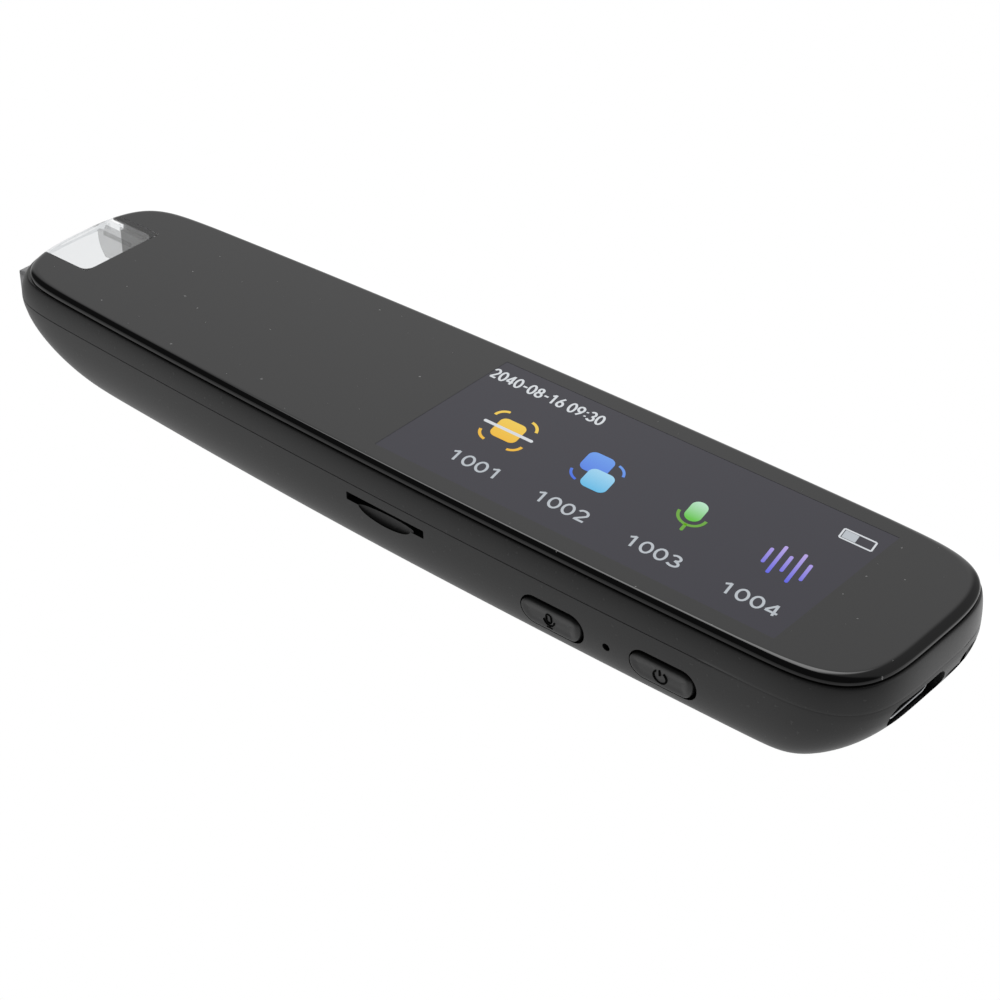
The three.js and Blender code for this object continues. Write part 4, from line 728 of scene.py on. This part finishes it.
# How far the cap draws back toward the port and at its top, and how its edge is rounded there
KEY_SHORTER, KEY_LOWER = 0.55, 0.5
CAP_ROUND, CAP_ROUND_TOP, CAP_ROUND_END, CAP_STEPS = 0.22, 0.35, 0.5, 10
DISH_WIDTH, DISH_STEPS = 1.1, 7
FLANGE_GROW, FLANGE_DEPTH, FLANGE_FOOT, FLANGE_CORNER, FLANGE_PLAY = 0.7, 0.7, 1.298, 0.35, 0.2


def key_cap(name, x, body):
    wall = wall_y(x)
    reach = KEY_HALF_LENGTH + FLANGE_GROW
    flange_front = -(min(wall, wall_y(x - reach), wall_y(x + reach)) - WALL - FLANGE_PLAY)
    loop = key_loop(x)
    loop[:, 0] -= KEY_SHORTER * clamp01((loop[:, 0] - x) / KEY_HALF_LENGTH) ** 2
    loop[:, 1] -= KEY_LOWER * clamp01((loop[:, 1] - KEY_Z) / KEY_HALF_HEIGHT) ** 2
    out = grown(loop, 1.0) - loop
    upward, onward = np.maximum(0, out[:, 1]), np.maximum(0, out[:, 0])
    radius = (CAP_ROUND + CAP_ROUND_TOP * upward ** 2 + CAP_ROUND_END * onward ** 3)[:, None]

    def ring(inset, depth):
        return [(u, -wall_y(u, v) - KEY_PROUD + float(d), v) for (u, v), d in zip(grown(loop, -inset), depth)]

    rings = [[(u, flange_front + FLANGE_DEPTH / 2, v) for u, v in loop]]
    for i in range(CAP_STEPS + 1):
        turn = math.pi / 2 * (1 - i / CAP_STEPS)
        rings.append(ring(radius * (1 - math.sin(turn)), (radius * (1 - math.cos(turn)))[:, 0]))
    for i in range(1, DISH_STEPS + 1):
        dish = KEY_DISH * (1 - math.cos(math.pi * i / DISH_STEPS)) / 2
        rings.append(ring(radius + DISH_WIDTH * i / DISH_STEPS, np.full(len(loop), dish)))
    cap = skin(name, rings)
    flange_loop = rounded(x - reach, x + reach, KEY_Z - FLANGE_FOOT, KEY_Z + KEY_HALF_HEIGHT, FLANGE_CORNER)
    carve(cap, [side_slab("flange", flange_loop, flange_front, flange_front + FLANGE_DEPTH)], "UNION")
    smooth(cap)
    return dress(cap, "black_plastic", body, name)


# Clear scanning head: a lip across the nose with a visor behind the window and an arm at each end
SMOKY_FROM = -6.9


def bow(z):
    """How far back the tub's bow has swept at a height."""
    return BOW * ((TUB_TOP - min(z, TUB_TOP)) / TUB_TOP) ** 2


def press_head():
    front, back, top, bottom, half = -2.9, -0.4, 11.0, 6.0, 9.2
    profile = [(back + bow(bottom) / 2, bottom), (back, TUB_TOP - 0.6), (back, top), (front + 0.6, top)]
    for i in range(1, 13):
        turn = math.pi / 2 * (1 + i / 12)
        profile.append((front + 0.6 + 0.6 * math.cos(turn), top - 0.6 + 0.6 * math.sin(turn)))
    for i in range(17):
        z = TUB_TOP + (bottom - TUB_TOP) * i / 16
        profile.append((front + bow(z), z))
    lip = side_slab("lip", profile, -half, half)
    ends = [slab("lip_ends", rounded(front, 1.9, -half, half, 0.9), 0, TOP),
            end_slab("lip_corners", rounded(-half, half, 0, top, 0.9), front - 1, 3)]
    carve(lip, ends, "INTERSECT")
    heights = [top - 0.6 + (13.05 - top + 0.6) * i / 8 for i in range(9)]
    visor = skin("visor", [flat_ring(band_loop(min(z, DECK_TOP), 0.1, TALL_SHOULDER), z) for z in heights])
    carve(visor, [block("visor_zone", front, back, -6.6, 6.6, 0, TOP)], "INTERSECT")
    pieces = [visor]
    for y0, end in ((-half, 11.8), (7.9, 20.9)):
        pieces.append(block("cheek", back - 0.6, back + 1.2, y0, y0 + 1.3, bottom, top))
        pieces.append(block("arm", back, end, y0, y0 + 1.3, 6.3, 8.1))
    carve(lip, pieces, "UNION")
    bm = bmesh.new()
    bm.from_mesh(lip.data)
    border = at(0, SMOKY_FROM, 0)
    everything = bm.verts[:] + bm.edges[:] + bm.faces[:]
    bmesh.ops.bisect_plane(bm, geom=everything, plane_co=border, plane_no=(0, 1, 0))
    for face in bm.faces:
        face.material_index = 1 if face.calc_center_median().y < border.y else 0
    bm.to_mesh(lip.data)
    bm.free()
    smooth(lip)
    lip.data.materials.append(MATERIALS["clear_plastic"])
    lip.data.materials.append(material("smoky_end", (0.55, 0.55, 0.56), 0.3, 0.1, 0.05))
    return dress(lip, "clear_plastic", "head", "press_head")


def head_rib():
    """The head's smoky inner wall beside the window, whose tint also paints the shade on the pale wall seen through
    it, and a darker strip along it that paints the shadow line at the far wall's top.
    """
    heights = [10.3 - 0.22 * i for i in range(18)]
    wall = [(8.4, 6.6), (8.4, 12.9), (2.4, 12.9), (2.4, 12.1), (-0.7, 12.1), (-1.2, 11.2), (-2.3, 10.9)]
    wall += [(-2.8 + bow(z), z) for z in heights]
    # A strip seen through a second layer of tint: painted shadow line in the gap at the far wall's top
    shadow_line_outline = [(4.7, 10.35), (4.7, 11.1), (-1.1, 11.1), (-1.3, 10.35)]
    dress(side_slab("head_rib", wall, 5.95, 6.05), "clear_plastic", "head", paint=SMOKE_AND_PAINTED_SHADE)
    dress(side_slab("head_painted_shadow_line", shadow_line_outline, 5.8, 5.88), "clear_plastic", "head", paint=SMOKE_AND_PAINTED_SHADE)


cover_glass()
head_rib()
lower_housing()
upper_housing()
key_cap("function_button", KEY_PLACES[0], "function_key")
key_cap("power_button", KEY_PLACES[1], "power_key")
press_head()


# Signs on the keys: dark strokes that follow the dish
def ribbon(bm, points, width, place):
    """A thin bar of one width along points in a plane; place gives its back face for 0 and its front for 1."""
    path = np.array(points, float)
    closed = np.hypot(*(path[0] - path[-1])) < 1e-6
    if closed:
        path = path[:-1]
        along = np.roll(path, -1, 0) - np.roll(path, 1, 0)
    else:
        along = np.gradient(path, axis=0)
    along /= np.hypot(along[:, 0], along[:, 1])[:, None]
    side = np.stack([-along[:, 1], along[:, 0]], 1) * width / 2
    corners = ((path - side, 0), (path + side, 0), (path + side, 1), (path - side, 1))
    rows = [[bm.verts.new(place(u, v, face)) for u, v in edge] for edge, face in corners]
    count = len(path)
    for i in range(count if closed else count - 1):
        after = (i + 1) % count
        for low, high in zip(rows, rows[1:] + rows[:1]):
            bm.faces.new((low[i], low[after], high[after], high[i]))
    if not closed:
        for end in (0, -1):
            bm.faces.new([row[end] for row in rows])


def stroked(name, bm, slot, body, paint):
    """A finished piece from bars with their faces turned outward."""
    bmesh.ops.recalc_face_normals(bm, faces=bm.faces)
    return dress(from_bmesh(name, bm), slot, body, paint=paint)


def arc(radius, start, end, steps=24, middle=(0.0, 0.0)):
    """Points on a circle, from one angle to another in turns."""
    turns = [math.tau * (start + (end - start) * i / steps) for i in range(steps + 1)]
    return [(middle[0] + radius * math.cos(t), middle[1] + radius * math.sin(t)) for t in turns]


ENGRAVED = material("engraved", (0.002, 0.002, 0.002), 0.9, 0.05, 0.1, Specular_IOR_Level=0.05)
# A stroke reaches from inside the cap to just proud of it
SIGN_BACK, SIGN_THICKNESS, SIGN_DROP = 0.14, 0.17, 0.55


def sign(name, key_x, paths, width, body):
    """Dark strokes on a key's face, given from the sign's centre."""
    z = KEY_Z - SIGN_DROP

    def place(u, v, face):
        x, height = key_x + u, z + v
        return at(x, SIGN_BACK - SIGN_THICKNESS * face - wall_y(x, height), height)

    bm = bmesh.new()
    for path in paths:
        ribbon(bm, path, width, place)
    return stroked(name, bm, "chip_black", body, ENGRAVED)


def signs():
    power = [arc(0.95, 0.35, 1.15), [(0, 0.25), (0, 0.7), (0, 1.15)]]
    sign("power_sign", KEY_PLACES[1] - 0.4, power, 0.22, "power_key")
    capsule = arc(0.38, 0.0, 0.5, 10, (0, 0.7)) + arc(0.38, 0.5, 1.0, 10, (0, 0.05))
    capsule.append(capsule[0])
    strokes = [capsule, arc(0.8, 0.5, 1.0, 16, (0, 0.05)), [(0, -0.74), (0, -0.9), (0, -1.08)],
               [(-0.45, -1.08), (0, -1.08), (0.45, -1.08)]]
    sign("microphone_sign", KEY_PLACES[0] - 0.5, strokes, 0.18, "function_key")


# Display: a faintly lit area, a row of plain digits, four signs and their numbers
def build_pixels(t, given, give):
    """Cross-shaded rows and columns of the display's dots."""
    place = t.new("ShaderNodeTexCoord").outputs["Object"]
    axes = t.new("ShaderNodeSeparateXYZ", {0: place})
    total = 0.88
    for i in range(2):
        wave = t.math("SINE", t.math("MULTIPLY", axes.outputs[i], math.tau / 0.00011))
        total = t.math("MULTIPLY_ADD", wave, 0.06, total)
    share = t.new("ShaderNodeMapRange", {"Value": axes.outputs[1], "From Min": given["Low"],
                                         "From Max": given["High"]}).outputs["Result"]
    give("Colour", t.mix(1.0, t.mix(share, given["Below"], given["Above"]), total, "MULTIPLY"))


PIXELS = group("pixels", {"Low": 0.0, "High": 1.0, "Below": (1, 1, 1, 1), "Above": (1, 1, 1, 1)},
               {"Colour": "NodeSocketColor"}, build_pixels)


def shade(value):
    """A display level of 0 to 255 as light, less what the glass reflects there."""
    return max(0.0, ((value / 255 + 0.055) / 1.055) ** 2.4 - 0.07)


def lit(name, below, above=None, low=-3.0, high=3.0):
    """A lit display colour, with one tone below and another above."""
    made = bpy.data.materials.new(name)
    made.use_nodes = True
    t = Tree(made.node_tree)
    bsdf = made.node_tree.nodes["Principled BSDF"]
    dots = t.new("ShaderNodeGroup", node_tree=PIXELS)
    values = {"Low": low * MM, "High": high * MM, "Below": (*below, 1.0), "Above": (*(above or below), 1.0)}
    for key, value in values.items():
        dots.inputs[key].default_value = value
    bsdf.inputs["Base Color"].default_value = (0.01, 0.01, 0.012, 1.0)
    bsdf.inputs["Roughness"].default_value = 0.02
    t.put(bsdf.inputs["Emission Color"], dots.outputs[0])
    bsdf.inputs["Emission Strength"].default_value = 1.0
    return made


def tone(*levels):
    return tuple(shade(v) for v in levels)


LEAN = -0.2
# Heights of the display's shapes and of those that lie over them, and how thick they are
SHOWN_Z, SHOWN_OVER_Z, SHEET, STROKE = 14.482, 14.488, 0.004, 0.008


def leaned(loop, middle):
    """The display's signs lean back a little, each about its own middle."""
    return [(x + LEAN * (y - middle), y) for x, y in loop]


def shown(name, loops, z, paint, middle=0.0):
    """Flat shapes on the display, each a thin sheet just under the glass's top."""
    pieces = [slab(name, leaned(loop, middle), z, z + SHEET) for loop in loops]
    return dress(joined(name, pieces) if len(pieces) > 1 else pieces[0], "display_glass", paint=paint)


# Loops for the display's signs
def ring_loop(radius, width, start, end, middle, steps=16):
    outer = arc(radius + width / 2, start, end, steps, middle)
    inner = arc(radius - width / 2, start, end, steps, middle)
    return outer + inner[::-1]


def tile(x, y, half, radius):
    return rounded(x - half, x + half, y - half, y + half, radius)


def bar(x0, x1, y0, y1):
    return rounded(x0, x1, y0, y1, min(x1 - x0, y1 - y0) * 0.49)


def oval(x, y, wide, tall, start, end):
    return [(x + wide * u, y + tall * v) for u, v in arc(1.0, start, end, 20)]


# Strokes of each digit in a box one unit tall, and how far the next one is along
GLYPHS = {
    "0": [oval(0.28, 0.5, 0.23, 0.46, 0, 1)],
    "1": [[(0.1, 0.76), (0.22, 0.85), (0.33, 0.96)], [(0.33, 0.98), (0.33, 0.5), (0.33, 0.02)]],
    "2": [oval(0.27, 0.7, 0.21, 0.26, 0.46, -0.09) + [(0.3, 0.36), (0.07, 0.06)],
          [(0.05, 0.05), (0.3, 0.05), (0.5, 0.05)]],
    "3": [oval(0.25, 0.74, 0.2, 0.22, 0.42, -0.25), oval(0.25, 0.27, 0.24, 0.23, 0.25, -0.42)],
    "4": [[(0.4, 0.02), (0.4, 0.5), (0.4, 0.96)], [(0.4, 0.94), (0.22, 0.62), (0.04, 0.3)],
          [(0.02, 0.27), (0.3, 0.27), (0.55, 0.27)]],
    "6": [oval(0.28, 0.3, 0.22, 0.26, 0, 1), [(0.42, 0.96), (0.19, 0.66), (0.07, 0.36)]],
    "8": [oval(0.28, 0.74, 0.18, 0.21, 0, 1), oval(0.28, 0.28, 0.23, 0.24, 0, 1)],
    "9": [oval(0.28, 0.7, 0.22, 0.26, 0, 1), [(0.49, 0.64), (0.37, 0.34), (0.14, 0.04)]],
    "-": [[(0.06, 0.46), (0.2, 0.46), (0.38, 0.46)]],
    ":": [[(0.14, 0.2), (0.14, 0.26), (0.14, 0.32)], [(0.14, 0.62), (0.14, 0.68), (0.14, 0.74)]],
    " ": [],
}
DIGIT_ADVANCE, DIGIT_GAP, DIGIT_WEIGHT = 0.66, 0.1, 0.16
ADVANCE = {"-": 0.5, ":": 0.34, " ": 0.3}


def digits(name, text, x, y, width, height, paint):
    """A line of plain digits, fitted to a width and a height about a centre."""
    total = sum(ADVANCE.get(c, DIGIT_ADVANCE) for c in text) - DIGIT_GAP
    across = width / total
    bm = bmesh.new()
    start = x - width / 2
    for c in text:
        for path in GLYPHS[c]:
            points = leaned([(start + u * across, y + (v - 0.5) * height) for u, v in path], y)
            ribbon(bm, points, DIGIT_WEIGHT * height, lambda u, v, face: at(u, v, SHOWN_Z + STROKE * face))
        start += ADVANCE.get(c, DIGIT_ADVANCE) * across
    return stroked(name, bm, "display_glass", "case", paint)


def screen():
    white = lit("shown_white", tone(226, 230, 234))
    area = lit("shown_area", (0.0018, 0.0004, 0.0115))
    loop = rounded(SCREEN[0] + 0.01, SCREEN[1] - 0.01, 0.01 - SCREEN[2], SCREEN[2] - 0.01, 0.02)
    lit_area = slab("lit_area", loop, POCKET_FLOOR + 0.002, POCKET_FLOOR + 0.008)
    dress(lit_area, "display_glass", paint=area)
    digits("digit_row", "2040-08-16 09:30", 79.35, 9.75, 18.5, 2.1, white)
    x, y = 80.71, 0.35
    yellow = lit("shown_yellow", tone(250, 196, 60), tone(252, 214, 96), y - 2, y + 2)
    corners = [(0.0, 1, 1), (0.25, -1, 1), (0.5, -1, -1), (0.75, 1, -1)]
    arcs = [ring_loop(1.8, 0.45, start + 0.02, start + 0.23, (x + 1.6 * a, y + 1.6 * b)) for start, a, b in corners]
    shown("scan_sign", arcs + [tile(x, y, 2.1, 1.0)], SHOWN_Z, yellow, y)
    shown("scan_bar", [bar(x - 4.05, x + 4.05, y - 0.3, y + 0.25)], SHOWN_OVER_Z, white, y)
    x, y = 95.2, 0.3
    blue = lit("shown_blue", tone(84, 120, 232), tone(120, 168, 246), y - 3, y + 3.5)
    cyan = lit("shown_cyan", tone(110, 196, 240), tone(170, 222, 250), y - 3.5, y + 0.5)
    sides = [ring_loop(1.9, 0.4, 0.02, 0.22, (x + 1.4, y + 1.0)), ring_loop(1.9, 0.4, 0.52, 0.72, (x - 1.4, y - 1.0))]
    shown("text_sign", sides + [tile(x - 0.85, y + 1.45, 2.05, 1.1)], SHOWN_Z, blue, y)
    shown("text_tile", [tile(x + 0.85, y - 1.4, 2.0, 1.1)], SHOWN_OVER_Z, cyan, y)
    x, y = 109.8, 0.35
    green = lit("shown_green", tone(112, 206, 84), tone(196, 240, 210), y - 0.5, y + 3)
    dim = lit("shown_dim_green", tone(118, 176, 76))
    shown("voice_sign", [bar(x - 1.2, x + 1.2, y - 0.9, y + 3.2)], SHOWN_Z, green, y)
    stand = [ring_loop(2.0, 0.45, 0.5, 1.0, (x, y + 0.2)), bar(x - 0.24, x + 0.24, y - 3.2, y - 1.7)]
    shown("voice_stand", stand, SHOWN_Z, dim, y)
    x, y = 124.08, -0.2
    lilac = lit("shown_lilac", tone(106, 112, 236), tone(196, 176, 238), y - 3, y + 3)
    waves = [(-2.75, 1.6), (-1.38, 2.95), (0.0, 1.7), (1.38, 3.1), (2.75, 1.75)]
    shown("wave_sign", [bar(x + u - 0.26, x + u + 0.26, y - h, y + h) for u, h in waves], SHOWN_Z, lilac, y)
    grey = lit("shown_grey", tone(196, 202, 208))
    for i, (x, y) in enumerate(((82.45, -8.1), (96.4, -8.2), (110.6, -8.3), (124.8, -8.5))):
        digits("label_" + str(i + 1), str(1001 + i), x, y, 8.2, 2.2, grey)
    x, y, long, tall, edge = 127.75, 9.3, 2.3, 0.95, 0.26
    sides = (-1, 1)
    outline = [bar(x - long, x + long, y + side * tall - edge / 2, y + side * tall + edge / 2) for side in sides]
    outline += [bar(x + side * long - edge / 2, x + side * long + edge / 2, y - tall, y + tall) for side in sides]
    shown("charge_sign", outline, SHOWN_Z, white, y)
    level = rounded(x - long + 0.25, x - 0.1, y - tall + 0.2, y + tall - 0.2, 0.1)
    shown("charge_level", [level], SHOWN_OVER_Z, grey, y)


# Charging port: a shell with a rolled front edge, painted shade on its inner faces, and gold contacts on its tongue
SHELL_HALF_LENGTH, SHELL_HALF_HEIGHT, FIRST_PAINTED_SHADE_RING = 4.47, 1.6, 6
CONTACTS, CONTACT_PITCH, CONTACT_HALF, CONTACT_ENDS, CONTACT_THICKNESS = 12, 0.5, 0.12, (139.2, 142.8), 0.02
CONTACT_HEIGHTS = (0.35, -0.37)


def port():
    rolled = [(0.0, 0.12), (0.04, 0.04), (0.12, 0.0), (0.18, 0.0), (0.26, 0.04), (0.3, 0.12)]
    section = [(0.0, SHELL_BACK), *((inset, SHELL_FRONT - back) for inset, back in rolled), (0.3, SHELL_BACK + 0.3)]
    rings = []
    for inset, x in section:
        length, height = SHELL_HALF_LENGTH - inset, SHELL_HALF_HEIGHT - inset
        rings.append([(x, y, z) for y, z in pill(PORT_Y, PORT_Z, length, height, 16)])
    shell = skin("shell", rings)
    shell.data.materials.append(MATERIALS["bright_steel"])
    # The shell's inner faces take a darker steel: painted shade inside the port
    shell.data.materials.append(material("painted_shade_steel", (0.05, 0.05, 0.052), 0.5, 0.1, 0.1, Metallic=1.0))
    count = len(rings[0])
    for face in shell.data.polygons:
        face.material_index = 1 if min(face.vertices) // count >= FIRST_PAINTED_SHADE_RING else 0
    smooth(shell, 50)
    dress(shell, "bright_steel", stands_for="usb_shell")
    gold = material("contact_gold", (0.72, 0.5, 0.2), 0.25, 0.1, 0.05, Metallic=1.0)
    strips = []
    for i in range(CONTACTS):
        y = PORT_Y + (i - (CONTACTS - 1) / 2) * CONTACT_PITCH
        for height in CONTACT_HEIGHTS:
            z = PORT_Z + height
            strips.append(block("strip", *CONTACT_ENDS, y - CONTACT_HALF, y + CONTACT_HALF, z, z + CONTACT_THICKNESS))
    dress(joined("port_contacts", strips), "bright_steel", paint=gold)


signs()
screen()
port()


# Stage, light and camera: metres, and millimetres for the camera's place
# The floor's light: near the pen and far from it, with where it falls off, and how much more there is behind the pen
FLOOR_NEAR, FLOOR_LEVEL = 0.74, 0.45
FALL_START, FALL_END, PEN_REACH = 0.012, 0.05, 0.058
FLOOR_BEHIND, BEHIND_END = 0.45, 0.03
# The studio's light: everywhere, on the pale wall and its two dimmer sides, and in the panel overhead
STUDIO_DIM, WALL_LEFT, WALL_MIDDLE, WALL_RIGHT_SHARE, PANEL_LEVEL = 0.07, 0.66, 0.93, 0.35, 3.2
CAMERA_PLACE, CAMERA_AZIMUTH, CAMERA_ELEVATION, CAMERA_LENS = (258.6, -209.9, 195.2), 40.455, 34.80, 93.6


def floor_material():
    """Pale lit floor that the camera sees as plain white."""
    made = bpy.data.materials.new("floor")
    made.use_nodes = True
    tree = made.node_tree
    t = Tree(tree)
    path = t.new("ShaderNodeLightPath")
    seen = t.math("MAXIMUM", path.outputs["Is Camera Ray"], path.outputs["Is Transmission Ray"])
    place = t.new("ShaderNodeSeparateXYZ", {0: t.new("ShaderNodeTexCoord").outputs["Object"]})
    beside = t.math("ABSOLUTE", place.outputs[1])
    beyond = t.math("SUBTRACT", t.math("ABSOLUTE", place.outputs[0]), PEN_REACH)
    glow = t.smoothstep(t.math("MAXIMUM", beside, beyond), FALL_START, FALL_END, FLOOR_NEAR, FLOOR_LEVEL)
    behind = t.smoothstep(place.outputs[1], 0.0, BEHIND_END, 0.0, FLOOR_BEHIND)
    level = t.math("MAXIMUM", seen, t.math("ADD", glow, behind))
    light = t.new("ShaderNodeEmission", {"Color": (1, 1, 1, 1), "Strength": level})
    tree.nodes.remove(tree.nodes["Principled BSDF"])
    tree.links.new(light.outputs[0], tree.nodes["Material Output"].inputs["Surface"])
    return made


bpy.ops.mesh.primitive_plane_add(size=6.0, location=(0, 0, -0.00005))
floor = bpy.context.object
floor.name = "floor"
floor.data.materials.append(floor_material())


def studio():
    """A soft studio: dark in front and to the right, a pale wall behind to the left, a brighter panel overhead."""
    world = bpy.data.worlds.new("studio")
    bpy.context.scene.world = world
    world.use_nodes = True
    t = Tree(world.node_tree)
    back = world.node_tree.nodes["Background"]
    way = t.new("ShaderNodeTexCoord").outputs["Generated"]
    x, y, z = t.new("ShaderNodeSeparateXYZ", {0: way}).outputs
    wall = t.math("MULTIPLY", t.smoothstep(y, 0.05, 0.3), t.smoothstep(x, -0.34, -0.08, 1.0, WALL_RIGHT_SHARE))
    wall = t.math("MULTIPLY", wall, t.smoothstep(x, -0.8, -0.5, WALL_LEFT, WALL_MIDDLE))
    panel = t.math("MULTIPLY", t.smoothstep(z, 0.74, 0.8), t.smoothstep(y, 0.03, 0.13))
    panel = t.math("MULTIPLY", panel, t.smoothstep(x, -0.3, -0.16, PANEL_LEVEL, 0.0))
    level = t.math("ADD", t.math("ADD", wall, panel), STUDIO_DIM)
    colour = t.new("ShaderNodeCombineXYZ", {0: level, 1: level, 2: level}).outputs[0]
    path = t.new("ShaderNodeLightPath")
    seen = t.math("MAXIMUM", path.outputs["Is Camera Ray"], path.outputs["Is Transmission Ray"])
    t.put(back.inputs["Color"], t.mix(seen, colour, (1, 1, 1, 1)))
    back.inputs["Strength"].default_value = 1.0


studio()

camera = bpy.data.cameras.new("camera")
camera.lens = CAMERA_LENS
camera.sensor_width = 36.0
camera.sensor_fit = "HORIZONTAL"
camera.clip_start = 0.01
camera.clip_end = 20.0
camera.dof.use_dof = False
eye = bpy.data.objects.new("camera", camera)
bpy.context.scene.collection.objects.link(eye)
azimuth, elevation = math.radians(CAMERA_AZIMUTH), math.radians(CAMERA_ELEVATION)
forward = Vector((-math.sin(azimuth) * math.cos(elevation), math.cos(azimuth) * math.cos(elevation),
                  -math.sin(elevation)))
right = Vector((math.cos(azimuth), math.sin(azimuth), 0.0))
up = right.cross(forward)
turn = Matrix((right, up, -forward)).transposed().to_4x4()
eye.matrix_world = Matrix.Translation(at(*CAMERA_PLACE)) @ turn
bpy.context.scene.camera = eye
bpy.context.scene.view_settings.view_transform = "Standard"
